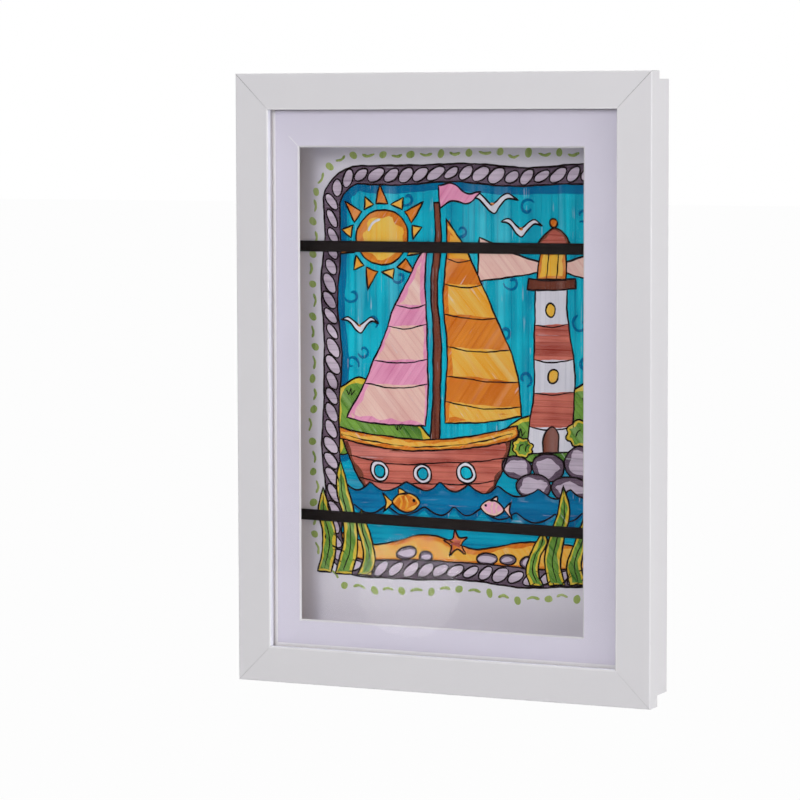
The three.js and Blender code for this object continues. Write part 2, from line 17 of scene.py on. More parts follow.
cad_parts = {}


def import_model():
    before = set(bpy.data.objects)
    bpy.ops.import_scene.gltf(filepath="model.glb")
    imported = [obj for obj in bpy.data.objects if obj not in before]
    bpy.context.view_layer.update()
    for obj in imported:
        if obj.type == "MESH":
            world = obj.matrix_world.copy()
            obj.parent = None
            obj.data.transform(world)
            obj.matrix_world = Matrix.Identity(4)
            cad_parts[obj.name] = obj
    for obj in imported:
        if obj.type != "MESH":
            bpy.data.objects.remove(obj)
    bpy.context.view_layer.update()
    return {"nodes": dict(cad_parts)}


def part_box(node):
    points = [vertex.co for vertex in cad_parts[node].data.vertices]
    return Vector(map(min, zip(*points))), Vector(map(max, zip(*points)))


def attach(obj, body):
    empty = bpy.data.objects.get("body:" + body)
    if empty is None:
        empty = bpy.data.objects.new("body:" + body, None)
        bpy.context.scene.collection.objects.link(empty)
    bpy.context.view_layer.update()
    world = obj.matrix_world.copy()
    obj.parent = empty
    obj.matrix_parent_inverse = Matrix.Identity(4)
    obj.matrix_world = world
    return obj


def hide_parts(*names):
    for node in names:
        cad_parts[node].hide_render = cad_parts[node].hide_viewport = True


LOG = logging.getLogger("art_frame")
MM = 0.001

Colour = tuple[float, float, float]
Point = tuple[float, float]
Value = Union["Signal", float, Sequence[float]]


def srgb(red: int, green: int, blue: int) -> Colour:
    """Turns a screen colour, 0 to 255 a channel, into the linear colour that shaders take.

    Args:
        red: Red channel.
        green: Green channel.
        blue: Blue channel.

    Returns:
        The linear colour.
    """
    knee, toe, offset, gamma = 0.04045, 12.92, 0.055, 2.4
    shares = [channel / 255 for channel in (red, green, blue)]
    return tuple(s / toe if s <= knee else ((s + offset) / (1 + offset)) ** gamma for s in shares)


class Signal:
    """A shader socket that takes part in Python expressions."""

    def __init__(self, shader: "Shader", socket: bpy.types.NodeSocket) -> None:
        """Wraps one output socket of a shader's node tree."""
        self.shader = shader
        self.socket = socket

    def _math(self, operation: str, *values: Value) -> "Signal":
        """Adds a Math node of that operation on values."""
        names = ("Value", "Value_001", "Value_002")
        return self.shader.node("ShaderNodeMath", {"operation": operation}, dict(zip(names, values)))

    def __add__(self, other: Value) -> "Signal":
        """Sum of the two."""
        return self._math("ADD", self, other)

    __radd__ = __add__

    def __sub__(self, other: Value) -> "Signal":
        """This less the other."""
        return self._math("SUBTRACT", self, other)

    def __rsub__(self, other: Value) -> "Signal":
        """The other less this."""
        return self._math("SUBTRACT", other, self)

    def __mul__(self, other: Value) -> "Signal":
        """Product of the two."""
        return self._math("MULTIPLY", self, other)

    __rmul__ = __mul__

    def __truediv__(self, other: Value) -> "Signal":
        """This over the other."""
        return self._math("DIVIDE", self, other)

    def __pow__(self, other: Value) -> "Signal":
        """This to a power."""
        return self._math("POWER", self, other)

    def __gt__(self, other: Value) -> "Signal":
        """1 where this is above the other, else 0."""
        return self._math("GREATER_THAN", self, other)

    def __lt__(self, other: Value) -> "Signal":
        """1 where this is below the other, else 0."""
        return self._math("LESS_THAN", self, other)

    def __abs__(self) -> "Signal":
        """Size without its sign."""
        return self._math("ABSOLUTE", self)

    def sine(self) -> "Signal":
        """Sine of this angle in radians."""
        return self._math("SINE", self)

    def clamped(self) -> "Signal":
        """Held between 0 and 1."""
        return self.shader.node("ShaderNodeClamp", {}, {"Value": self})


class Shader:
    """One material, with a Principled surface and the nodes that feed it."""

    def __init__(self, name: str) -> None:
        """Starts an empty node tree with one Principled surface.

        Args:
            name: Name of the material.
        """
        self.material = bpy.data.materials.new(name)
        self.material.use_nodes = True
        self.tree = self.material.node_tree
        self.tree.nodes.clear()
        self.output = self.tree.nodes.new("ShaderNodeOutputMaterial")
        self.principled = self.tree.nodes.new("ShaderNodeBsdfPrincipled")
        self.tree.links.new(self.principled.outputs[0], self.output.inputs["Surface"])

    @classmethod
    def on_tree(cls, tree: bpy.types.NodeTree) -> "Shader":
        """A shader that works on a tree made elsewhere, such as the world's."""
        shader = cls.__new__(cls)
        shader.tree = tree
        return shader

    def _feed(self, node: bpy.types.Node, key: str, value: Value) -> None:
        """Links or sets the input of node whose identifier is key."""
        socket = next(s for s in node.inputs if s.identifier == key)
        if isinstance(value, Signal):
            self.tree.links.new(value.socket, socket)
        elif socket.type == "RGBA":
            socket.default_value = (*value, 1.0)
        else:
            socket.default_value = value

    def node(self, kind: str, settings: dict, values: dict, output: str = "") -> Signal:
        """Adds any node: its settings first, then the values or links of its sockets.

        Args:
            kind: The node's type name.
            settings: Properties of the node, or "stops" for a ramp's places and colours.
            values: Input identifiers and what each gets.
            output: Identifier of the output to return, or nothing for the first.

        Returns:
            The chosen output.
        """
        node = self.tree.nodes.new(kind)
        for key, setting in settings.items():
            if key == "stops":
                self._ramp(node.color_ramp, setting)
            else:
                setattr(node, key, setting)
        for key, value in values.items():
            self._feed(node, key, value)
        if not node.outputs:
            return Signal(self, None)
        if output:
            return Signal(self, next(s for s in node.outputs if s.identifier == output))
        return Signal(self, node.outputs[0])

    @staticmethod
    def _ramp(ramp: bpy.types.ColorRamp, stops: Sequence[tuple[float, Colour]]) -> None:
        """Sets the stops of a colour ramp."""
        while len(ramp.elements) < len(stops):
            ramp.elements.new(1.0)
        for element, (place, colour) in zip(ramp.elements, stops):
            element.position = place
            element.color = (*colour, 1.0)

    def coordinates(self, scale: Sequence[float] = (1, 1, 1), turn: Sequence[float] = (0, 0, 0)) -> Signal:
        """Object coordinates, turned and then stretched.

        Args:
            scale: Stretch along each axis, after the turn.
            turn: Turn about each axis, in radians.

        Returns:
            The coordinates.
        """
        place = self.node("ShaderNodeTexCoord", {}, {}, "Object")
        if any(turn):
            place = self.node("ShaderNodeMapping", {}, {"Vector": place, "Rotation": turn})
        return self.node("ShaderNodeMapping", {}, {"Vector": place, "Scale": scale})

    def axes(self, vector: Signal) -> tuple[Signal, Signal, Signal]:
        """Splits a vector into its three parts."""
        keys = ("X", "Y", "Z")
        parts = self.node("ShaderNodeSeparateXYZ", {}, {"Vector": vector})
        outputs = {s.identifier: s for s in parts.socket.node.outputs}
        return tuple(Signal(self, outputs[key]) for key in keys)

    def normal(self) -> tuple[Signal, Signal, Signal]:
        """The three parts of the surface's own normal, in the piece's axes."""
        return self.axes(self.node("ShaderNodeTexCoord", {}, {}, "Normal"))

    def noise(self, place: Signal, scale: float, detail: float = 3.0) -> Signal:
        """Smooth noise from 0 to 1."""
        return self.node("ShaderNodeTexNoise", {}, {"Vector": place, "Scale": scale, "Detail": detail}, "Fac")

    def mix(self, share: Value, first: Value, second: Value) -> Signal:
        """Blends two colours.

        Args:
            share: How much of the second colour shows, from 0 to 1.
            first: Colour at 0.
            second: Colour at 1.

        Returns:
            The blended colour.
        """
        values = {"Factor_Float": share, "A_Color": first, "B_Color": second}
        return self.node("ShaderNodeMix", {"data_type": "RGBA"}, values, "Result_Color")

    def bump(self, height: Signal, distance: float, strength: float = 1.0) -> Signal:
        """A normal bent by a height.

        Args:
            height: Height from 0 to 1.
            distance: How far a height of 1 stands out, in metres.
            strength: Share of the effect.

        Returns:
            The bent normal.
        """
        return self.node("ShaderNodeBump", {}, {"Height": height, "Distance": distance, "Strength": strength}, "Normal")

    def finish(self, **values: Value) -> bpy.types.Material:
        """Sets the Principled surface's inputs, by name with underscores for spaces.

        Args:
            **values: Input names and what each gets.

        Returns:
            The finished material.
        """
        for key, value in values.items():
            self._feed(self.principled, key.replace("_", " "), value)
        return self.material


class Direction(Enum):
    """Way in which a felt pen was drawn, as a turn in the plane of the sheet."""

    UPRIGHT = 0.0
    LEVEL = math.pi / 2
    RISING = math.radians(40)
    FALLING = math.radians(-35)


@dataclass(frozen=True)
class FoilFinish:
    """Satin white foil wrapped round fibreboard mouldings."""

    name: str = "white_foil"
    colour: Colour = srgb(225, 223, 226)
    shade: Colour = srgb(221, 219, 223)
    roughness: float = 0.34
    peel_scale: float = 900.0
    peel_depth: float = 0.00002

    def body(self, shader: Shader) -> tuple[Signal, Signal]:
        """Colour and normal of the foil."""
        place = shader.coordinates()
        cloud = shader.noise(place, 14.0, 4.0)
        peel = shader.noise(place, self.peel_scale, 2.0)
        return shader.mix(cloud, self.colour, self.shade), shader.bump(peel, self.peel_depth)

    def material(self) -> bpy.types.Material:
        """The foil as a material."""
        shader = Shader(self.name)
        colour, normal = self.body(shader)
        rough = self.roughness + 0.06 * shader.noise(shader.coordinates(), 60.0)
        return shader.finish(Base_Color=colour, Roughness=rough, Normal=normal)


@dataclass(frozen=True, kw_only=True)
class DoorFoilFinish(FoilFinish):
    """The same foil on the door: a painted highlight on its inner lip and arris, painted shade at the lip's far end,
    fine dark mitre lines, raw board between turned edges at the back.
    """

    half_width: float
    half_height: float
    sight_width: float
    sight_height: float
    front: float
    name: str = "white_foil_raw_back"
    # Painted highlight: the inner lip is coloured lighter than the foil, for the light that falls on it.
    lip: Colour = srgb(240, 240, 248)
    # Painted highlight along the inner front arris round the opening.
    arris_highlight: Colour = srgb(238, 236, 239)
    joint: Colour = srgb(96, 94, 98)
    board: Colour = srgb(196, 170, 134)
    board_dark: Colour = srgb(168, 141, 106)
    arris_highlight_width: float = 0.001
    # Painted shade: beyond this depth the lip's wall is coloured darker, where it meets the pane.
    lip_shade_start: float = 0.0029
    lip_end_shade: Colour = srgb(196, 193, 202)
    joint_width: float = 0.00014
    closed_share: float = 0.3
    turned_edge: float = 0.003
    fibre_scale: float = 700.0

    def mitre(self, shader: Shader, x: Signal, z: Signal) -> Signal:
        """How dark the mitre line is: uneven, strongest at the outer corners, closed tighter on the bottom rail."""
        off = abs((self.half_width - abs(x)) - (self.half_height - abs(z)))
        outer = ((abs(x) - self.sight_width) * (1.0 / (self.half_width - self.sight_width))).clamped()
        wear = shader.noise(shader.coordinates(), 420.0, 2.0)
        open_share = self.closed_share + (1.0 - self.closed_share) * (z > 0.0)
        return (off < self.joint_width) * (0.9 * outer + 0.8 * wear - 0.1).clamped() * open_share

    def material(self) -> bpy.types.Material:
        """The foil with its lip, mitres and raw back as a material."""
        shader = Shader(self.name)
        colour, normal = self.body(shader)
        x, y, z = shader.axes(shader.coordinates())
        front = shader.normal()[1]
        within = (abs(x) < self.sight_width + self.arris_highlight_width) * (abs(z) < self.sight_height + self.arris_highlight_width)
        lip = within * (abs(front) < 0.5)
        # Painted highlight: a band round the opening, on the front and the lip, is mixed towards the lighter arris
        # colour.
        colour = shader.mix(0.55 * within, colour, self.arris_highlight)
        # Painted highlight: the sideways faces of the lip get the lighter lip colour.
        colour = shader.mix(lip, colour, self.lip)
        # Painted shade on the far end of the lip, next to the pane.
        colour = shader.mix(lip * (y > self.front + self.lip_shade_start), colour, self.lip_end_shade)
        colour = shader.mix(self.mitre(shader, x, z), colour, self.joint)
        inside = (abs(x) < self.half_width - self.turned_edge) * (abs(z) < self.half_height - self.turned_edge)
        raw = (front > 0.9) * inside
        fibre = shader.noise(shader.coordinates(), self.fibre_scale, 5.0)
        board = shader.mix(fibre, self.board, self.board_dark)
        rough = self.roughness + 0.45 * raw
        return shader.finish(Base_Color=shader.mix(raw, colour, board), Roughness=rough, Normal=normal)


@dataclass(frozen=True)
class PaneFinish:
    """Clear acrylic, coated so that it reflects little: its index gives what the coating leaves."""

    name: str = "clear_acrylic"
    roughness: float = 0.02
    index: float = 1.1
    tint: Colour = (0.985, 0.985, 0.99)

    def material(self) -> bpy.types.Material:
        """The acrylic as a material."""
        shader = Shader(self.name)
        values = {"Base_Color": self.tint, "Roughness": self.roughness, "IOR": self.index}
        shader.finish(Transmission_Weight=1.0, **values)
        clear = shader.node("ShaderNodeBsdfTransparent", {}, {"Color": self.tint})
        surface = Signal(shader, shader.principled.outputs[0])
        for ray in ("Is Shadow Ray", "Is Diffuse Ray"):
            share = shader.node("ShaderNodeLightPath", {}, {}, ray)
            surface = shader.node("ShaderNodeMixShader", {}, {"Fac": share, "Shader": surface, "Shader_001": clear})
        shader.tree.links.new(surface.socket, shader.output.inputs["Surface"])
        return shader.material


@dataclass(frozen=True, kw_only=True)
class MatFinish:
    """Pale lavender mat card: white core bare on its bevel, a painted shadow line under the top lip, painted light near
    the left and bottom of the opening.
    """

    sight_width: float
    sight_height: float
    name: str = "mat_card"
    colour: Colour = srgb(227, 222, 236)
    shade: Colour = srgb(223, 218, 233)
    # Painted light: the mat is coloured near white along the left and bottom edges of the opening, to offset the lip's
    # shade.
    edge_painted_light: Colour = srgb(252, 250, 255)
    core: Colour = srgb(226, 223, 226)
    # Painted shadow: a grey line on the mat just under the top lip.
    top_shadow_colour: Colour = srgb(150, 142, 152)
    roughness: float = 0.88
    grain_scale: float = 1400.0
    grain_depth: float = 0.00003
    face_limit: float = 0.9
    top_shadow_width: float = 0.0005
    edge_painted_light_width: float = 0.0016
    cut_corner: Point = (-0.0856, 0.1262)
    cut_length: float = 0.0075
    cut_width: float = 0.00035

    def overcut(self, shader: Shader) -> Signal:
        """1 on the short slit where the knife ran past the window's upper left corner."""
        x, _, z = shader.axes(shader.coordinates())
        across, up = x - self.cut_corner[0], z - self.cut_corner[1]
        reach = (up - across) * math.sqrt(0.5)
        return (abs(up + across) < self.cut_width) * (reach > 0.0) * (reach < self.cut_length)

    def material(self) -> bpy.types.Material:
        """The mat card as a material."""
        shader = Shader(self.name)
        place = shader.coordinates()
        face = abs(shader.normal()[1]) > self.face_limit
        card = shader.mix(shader.noise(place, 45.0, 5.0), self.colour, self.shade)
        card = shader.mix(0.5 * self.overcut(shader), card, (1.0, 1.0, 1.0))
        x, _, z = shader.axes(place)
        # Painted shadow along the top edge of the opening, under the top lip.
        top_shadow_band = z > self.sight_height - self.top_shadow_width
        # Painted light near the left and bottom edges of the opening.
        edge_painted_light = (x < self.edge_painted_light_width - self.sight_width) + (z < self.edge_painted_light_width - self.sight_height)
        card = shader.mix(0.75 * top_shadow_band, card, self.top_shadow_colour)
        card = shader.mix(edge_painted_light.clamped(), card, self.edge_painted_light)
        normal = shader.bump(shader.noise(place, self.grain_scale), self.grain_depth)
        return shader.finish(Base_Color=shader.mix(face, self.core, card), Roughness=self.roughness, Normal=normal)


@dataclass(frozen=True)
class PaperFinish:
    """Smooth white drawing paper, with a painted warm shade towards its long edges."""

    name: str = "drawing_paper"
    # Painted shade: a warm darker tone towards the sheet's long edges, for the shade and warm light from the box's
    # walls.
    painted_warm_shade: Colour = srgb(214, 200, 186)
    unshaded_half: float = 0.085
    painted_warm_shade_width: float = 0.014
    colour: Colour = srgb(233, 229, 237)
    shade: Colour = srgb(227, 222, 232)
    roughness: float = 0.82
    grain_scale: float = 1100.0
    grain_depth: float = 0.00004

    def material(self) -> bpy.types.Material:
        """The paper as a material."""
        shader = Shader(self.name)
        place = shader.coordinates()
        colour = shader.mix(shader.noise(place, 60.0, 6.0), self.colour, self.shade)
        x, _, _ = shader.axes(place)
        # Painted warm shade, growing towards the sheet's long edges.
        edge = ((abs(x) - self.unshaded_half) / self.painted_warm_shade_width).clamped()
        colour = shader.mix(edge * (0.4 + 0.6 * shader.noise(place, 24.0)), colour, self.painted_warm_shade)
        normal = shader.bump(shader.noise(place, self.grain_scale), self.grain_depth)
        return shader.finish(Base_Color=colour, Roughness=self.roughness, Normal=normal)


@dataclass(frozen=True)
class PenFinish:
    """Felt-pen colour laid in strokes that streak, overlap and leave some paper bare."""

    name: str
    light: Colour
    dark: Colour
    direction: Direction = Direction.UPRIGHT
    bare: Colour = srgb(236, 232, 240)
    bare_share: float = 0.55
    wash_share: float = 0.1
    roughness: float = 0.75
    gloss: float = 0.05
    streak_scale: float = 230.0
    hair_scale: float = 1300.0
    blot_scale: float = 60.0
    lap_scale: float = 92.0
    stretch: float = 0.05

    def material(self) -> bpy.types.Material:
        """The pen's colour as a material."""
        shader = Shader(f"pen_{self.name}")
        turn = (0.0, self.direction.value, 0.0)
        along = shader.coordinates((1.0, 1.0, self.stretch), turn)
        streaks = ((shader.noise(along, self.streak_scale, 2.0) - 0.36) * 3.2).clamped()
        hairs = shader.noise(along, self.hair_scale, 2.0)
        blots = shader.noise(shader.coordinates(), self.blot_scale, 4.0)
        values = {"Vector": along, "Scale": self.lap_scale, "Distortion": 5.0, "Detail": 2.0, "Detail Scale": 1.4}
        waves = shader.node("ShaderNodeTexWave", {"bands_direction": "X"}, values, "Fac")
        laps = ((waves - 0.84) * 6.0).clamped()
        wash = ((shader.noise(along, 0.5 * self.streak_scale, 2.0) - 0.57) * 6.0).clamped()
        share = (0.5 * streaks + 0.45 * hairs + 1.1 * blots + 0.3 * laps - 0.6 - 0.7 * wash).clamped()
        gaps = ((shader.noise(along, 0.6 * self.hair_scale, 1.0) - 0.63) * 9.0).clamped()
        thin = ((shader.noise(shader.coordinates(), 2 * self.blot_scale, 3.0) - 0.5) * 6.0).clamped()
        colour = shader.mix(share, self.light, self.dark)
        colour = shader.mix(wash * self.wash_share, colour, self.bare)
        colour = shader.mix(gaps * thin * self.bare_share, colour, self.bare)
        return shader.finish(Base_Color=colour, Roughness=self.roughness, Specular_IOR_Level=self.gloss)


@dataclass(frozen=True)
class InkFinish:
    """Waterproof black line, slightly brown where it is thin."""

    name: str = "ink_line"
    colour: Colour = srgb(14, 6, 8)
    thin: Colour = srgb(36, 18, 18)
    roughness: float = 0.6
    gloss: float = 0.05

    def material(self) -> bpy.types.Material:
        """The ink as a material."""
        shader = Shader(self.name)
        wear = shader.noise(shader.coordinates(), 160.0, 4.0) ** 2.0
        colour = shader.mix(wear, self.colour, self.thin)
        return shader.finish(Base_Color=colour, Roughness=self.roughness, Specular_IOR_Level=self.gloss)


@dataclass(frozen=True)
class ElasticFinish:
    """Woven black elastic, with cross threads between its long ribs."""

    name: str = "black_elastic"
    colour: Colour = srgb(17, 14, 15)
    worn: Colour = srgb(44, 34, 31)
    roughness: float = 0.82
    gloss: float = 0.1
    thread_pitch: float = 0.00055
    thread_depth: float = 0.00005

    def material(self) -> bpy.types.Material:
        """The elastic as a material."""
        shader = Shader(self.name)
        x, _, z = shader.axes(shader.coordinates())
        turn = 2 * math.pi / self.thread_pitch
        weft = (x * turn).sine() * 0.5 + 0.5
        warp = (z * (turn * 0.9)).sine() * 0.5 + 0.5
        lint = shader.noise(shader.coordinates(), 900.0, 3.0)
        height = 0.6 * weft + 0.25 * warp + 0.15 * lint
        colour = shader.mix((weft * 0.5 + lint * 0.5) ** 2.0, self.colour, self.worn)
        normal = shader.bump(height, self.thread_depth)
        values = {"Roughness": self.roughness, "Specular_IOR_Level": self.gloss}
        return shader.finish(Base_Color=colour, Normal=normal, **values)


@dataclass(frozen=True)
class SteelFinish:
    """Bright plated steel with drawn hairlines and dulled patches."""

    name: str
    colour: Colour = srgb(188, 190, 194)
    dull: Colour = srgb(158, 160, 165)
    roughness: float = 0.3
    hair_scale: Sequence[float] = (2600.0, 2600.0, 90.0)

    def material(self) -> bpy.types.Material:
        """The steel as a material."""
        shader = Shader(self.name)
        hairs = shader.noise(shader.coordinates(self.hair_scale), 1.0, 3.0)
        patches = shader.noise(shader.coordinates(), 190.0, 4.0)
        colour = shader.mix(patches, self.colour, self.dull)
        rough = self.roughness + 0.18 * hairs + 0.12 * patches
        return shader.finish(Base_Color=colour, Roughness=rough, Metallic=1.0)


@dataclass(frozen=True)
class PanelFinish:
    """Hardboard panel: painted white inside the box, bare brown fibre at the back."""

    name: str = "hardboard_panel"
    inside: Colour = srgb(226, 225, 224)
    fibre: Colour = srgb(150, 112, 76)
    fibre_dark: Colour = srgb(112, 80, 52)
    roughness: float = 0.78

    def material(self) -> bpy.types.Material:
        """The hardboard as a material."""
        shader = Shader(self.name)
        place = shader.coordinates()
        front = shader.normal()[1] < -0.5
        flecks = 0.55 * shader.noise(place, 420.0, 6.0) + 0.45 * shader.noise(place, 30.0, 3.0)
        back = shader.mix((2.4 * flecks - 0.75).clamped(), self.fibre, self.fibre_dark)
        screen = shader.noise(place, 1500.0, 2.0)
        colour = shader.mix(front, back, self.inside)
        return shader.finish(Base_Color=colour, Roughness=self.roughness, Normal=shader.bump(screen, 0.00006))


def deselect() -> None:
    """Leaves nothing selected, so that an operator acts only on what is chosen next."""
    for chosen in list(bpy.context.selected_objects):
        chosen.select_set(False)


def choose(*objects: bpy.types.Object) -> None:
    """Selects only these objects and makes the first one active."""
    deselect()
    for item in objects:
        item.select_set(True)
    bpy.context.view_layer.objects.active = objects[0]


def dress(piece: bpy.types.Object, material: bpy.types.Material) -> None:
    """Gives a piece one material."""
    piece.data.materials.clear()
    piece.data.materials.append(material)


def mount(piece: bpy.types.Object, body: str) -> None:
    """Makes a new piece ride on a body.

    Args:
        piece: The finished piece.
        body: CAD body that carries it.
    """
    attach(piece, body)
    LOG.info("%s rides on %s", piece.name, body)


@dataclass(frozen=True)
class Loop:
    """A closed hand-drawn outline on the sheet, in millimetres from its middle."""

    points: tuple[Point, ...]

    @staticmethod
    def through(text: str, steps: int = 8) -> "Loop":
        """A smooth outline through knots written as "x,v x,v!", where ! marks a sharp corner."""
        return Loop(tuple(curve_points(knots_of(text), steps, closed=True)))

    @staticmethod
    def oval(x: float, v: float, wide: float, high: float, turn: float = 0.0, count: int = 24) -> "Loop":
        """An ellipse by its middle, half width, half height and turn in radians."""
        cos, sin = math.cos(turn), math.sin(turn)
        points = []
        for i in range(count):
            angle = 2 * math.pi * i / count
            across, up = wide * math.cos(angle), high * math.sin(angle)
            points.append((x + across * cos - up * sin, v + across * sin + up * cos))
        return Loop(tuple(points))

    def area(self) -> float:
        """Signed area, positive when the outline runs anticlockwise."""
        pairs = zip(self.points, self.points[1:] + self.points[:1])
        return sum(x0 * v1 - x1 * v0 for (x0, v0), (x1, v1) in pairs) / 2

    def inset(self, distance: float, waver: float = 0.0) -> "Loop":
        """The outline moved inward.

        Args:
            distance: How far, in millimetres.
            waver: Share by which the distance swells and shrinks along the way.

        Returns:
            The smaller outline.
        """
        count = len(self.points)
        side = 1.0 if self.area() > 0 else -1.0
        moved = []
        for i, (x, v) in enumerate(self.points):
            (x0, v0), (x1, v1) = self.points[i - 1], self.points[(i + 1) % count]
            dx, dv = x1 - x0, v1 - v0
            length = math.hypot(dx, dv) or 1.0
            sway = 1.0 + waver * math.sin(0.31 * x + 0.23 * v) * math.cos(0.17 * x - 0.37 * v)
            moved.append((x - side * dv / length * distance * sway, v + side * dx / length * distance * sway))
        return Loop(tuple(moved))

    def between(self, low: float, high: float) -> "Loop":
        """The part of the outline's area from height low to height high."""
        points = clip(clip(self.points, low, 1.0), high, -1.0)
        return Loop(tuple(points))

    def along(self, pitch: float) -> list[tuple[Point, Point]]:
        """Points and directions at equal steps along the outline, about pitch apart."""
        pairs = list(zip(self.points, self.points[1:] + self.points[:1]))
        length = sum(math.dist(start, end) for start, end in pairs)
        step = length / max(3, round(length / pitch))
        found, ahead = [], 0.0
        for start, end in pairs:
            piece = math.dist(start, end)
            while piece > 0 and ahead < piece - 1e-6:
                share = ahead / piece
                way = ((end[0] - start[0]) / piece, (end[1] - start[1]) / piece)
                found.append(((start[0] + share * way[0] * piece, start[1] + share * way[1] * piece), way))
                ahead += step
            ahead -= piece
        return found


def knots_of(text: str) -> list[tuple[float, ...]]:
    """Knots from text such as "x,v x,v!": a third number marks a sharp corner."""
    knots = []
    for word in text.split():
        x, v = word.rstrip("!").split(",")
        knots.append((float(x), float(v), 0.0) if word.endswith("!") else (float(x), float(v)))
    return knots


def clip(points: Sequence[Point], level: float, side: float) -> list[Point]:
    """Cuts a polygon at a level.

    Args:
        points: Corners of the polygon.
        level: Height of the cut.
        side: 1 keeps what is above the cut, -1 what is below it.

    Returns:
        Corners of what is kept.
    """
    kept: list[Point] = []
    for (x0, v0), (x1, v1) in zip(points, list(points[1:]) + [points[0]]):
        inside0, inside1 = side * (v0 - level) >= 0, side * (v1 - level) >= 0
        if inside0:
            kept.append((x0, v0))
        if inside0 != inside1:
            share = (level - v0) / (v1 - v0)
            kept.append((x0 + share * (x1 - x0), level))
    return kept


def curve_points(knots: Sequence[Sequence[float]], steps: int, closed: bool) -> list[Point]:
    """Points along a smooth line through knots.

    Args:
        knots: Points (x, v), or (x, v, 0) for a sharp corner.
        steps: Steps from one knot to the next.
        closed: Whether the line returns to its start.

    Returns:
        The points.
    """
    count = len(knots)
    places = [(k[0], k[1]) for k in knots]
    sharp = [len(k) > 2 for k in knots]

    def tangent(i: int, other: int) -> Point:
        """Slope at knot i on the side of its neighbour other."""
        before, after = places[(i - 1) % count], places[(i + 1) % count]
        if sharp[i] or (not closed and i in (0, count - 1)):
            x, v = places[other]
            sign = 1.0 if other == (i + 1) % count else -1.0
            return sign * (x - places[i][0]), sign * (v - places[i][1])
        return (after[0] - before[0]) / 2, (after[1] - before[1]) / 2

    points: list[Point] = []
    for i in range(count if closed else count - 1):
        j = (i + 1) % count
        start, end = tangent(i, j), tangent(j, i)
        for step in range(steps):
            t = step / steps
            h00, h10 = 2 * t**3 - 3 * t**2 + 1, t**3 - 2 * t**2 + t
            h01, h11 = 3 * t**2 - 2 * t**3, t**3 - t**2
            points.append(tuple(
                h00 * places[i][k] + h10 * start[k] + h01 * places[j][k] + h11 * end[k] for k in (0, 1)
            ))
    if not closed:
        points.append(places[-1])
    return points


@dataclass(frozen=True)
class Hand:
    """The unsteady hand that draws: a slow drift over the sheet and a small shake along each line."""

    shake: float
    chance: random.Random
    spacing: float = 1.5

    @staticmethod
    def drift(point: Point) -> Point:
        """Where a point ends up by the drift, which is the same for all that passes there."""
        x, v = point
        across = 0.9 * math.sin(0.083 * v + 0.5) + 0.45 * math.sin(0.19 * x + 0.13 * v)
        up = 0.8 * math.sin(0.071 * x + 2.0) + 0.4 * math.sin(0.17 * v - 0.11 * x + 1.0)
        return x + across, v + up

    def steps(self, points: Sequence[Point]) -> list[Point]:
        """The same open line with points close together."""
        line = [points[0]]
        for start, end in zip(points, points[1:]):
            count = max(1, round(math.dist(start, end) / self.spacing))
            for i in range(1, count + 1):
                line.append((start[0] + (end[0] - start[0]) * i / count, start[1] + (end[1] - start[1]) * i / count))
        return line

    def draw(self, points: Sequence[Point]) -> list[Point]:
        """The line as the hand draws it.

        Args:
            points: The line that was meant.

        Returns:
            Its drifted and shaken points.
        """
        line = self.steps(points)
        first, second = self.chance.uniform(0, 6.3), self.chance.uniform(0, 6.3)
        drawn, way = [], 0.0
        for i, (x, v) in enumerate(line):
            (x0, v0), (x1, v1) = line[max(0, i - 1)], line[min(len(line) - 1, i + 1)]
            dx, dv = x1 - x0, v1 - v0
            length = math.hypot(dx, dv) or 1.0
            off = self.shake * (0.65 * math.sin(0.42 * way + first) + 0.35 * math.sin(1.13 * way + second))
            drawn.append(self.drift((x - dv / length * off, v + dx / length * off)))
            way += math.dist((x, v), (x1, v1))
        return drawn


@dataclass(frozen=True)
class Patch:
    """An area of one pen's colour, on a numbered layer of the sheet."""

    pen: str
    loops: tuple[Loop, ...]
    layer: float


@dataclass(frozen=True)
class Stroke:
    """A line drawn with a pen or the ink liner, on a numbered layer of the sheet."""

    pen: str
    points: tuple[Point, ...]
    width: float
    layer: float


PENS = (
    PenFinish("sky", srgb(24, 204, 226), srgb(0, 126, 166)),
    PenFinish("sea", srgb(10, 182, 212), srgb(0, 110, 156), Direction.LEVEL),
    PenFinish("deep_sea", srgb(6, 134, 186), srgb(0, 82, 138), Direction.LEVEL),
    PenFinish("blue_edge", srgb(0, 126, 172), srgb(0, 88, 142)),
    PenFinish("yellow", srgb(246, 200, 96), srgb(244, 158, 28), Direction.RISING),
    PenFinish("sun_yellow", srgb(248, 206, 92), srgb(250, 174, 26)),
    PenFinish("orange", srgb(238, 146, 52), srgb(206, 96, 20), Direction.FALLING),
    PenFinish("peach", srgb(254, 216, 202), srgb(232, 172, 164), Direction.RISING),
    PenFinish("pink", srgb(252, 176, 208), srgb(226, 128, 172), Direction.FALLING),
    PenFinish("brick", srgb(228, 130, 112), srgb(142, 42, 34), Direction.LEVEL),
    PenFinish("brown", srgb(140, 78, 58), srgb(80, 34, 28)),
    PenFinish("green", srgb(136, 182, 78), srgb(38, 94, 32), Direction.RISING),
    PenFinish("edge_yellow", srgb(238, 212, 78), srgb(204, 164, 36), Direction.RISING),
    PenFinish("light_green", srgb(184, 200, 120), srgb(134, 160, 78)),
    PenFinish("mauve", srgb(222, 206, 222), srgb(156, 138, 158), Direction.LEVEL),
    PenFinish("grey", srgb(118, 98, 116), srgb(70, 54, 70), Direction.LEVEL),
    PenFinish("white", srgb(240, 237, 246), srgb(214, 212, 224)),
)


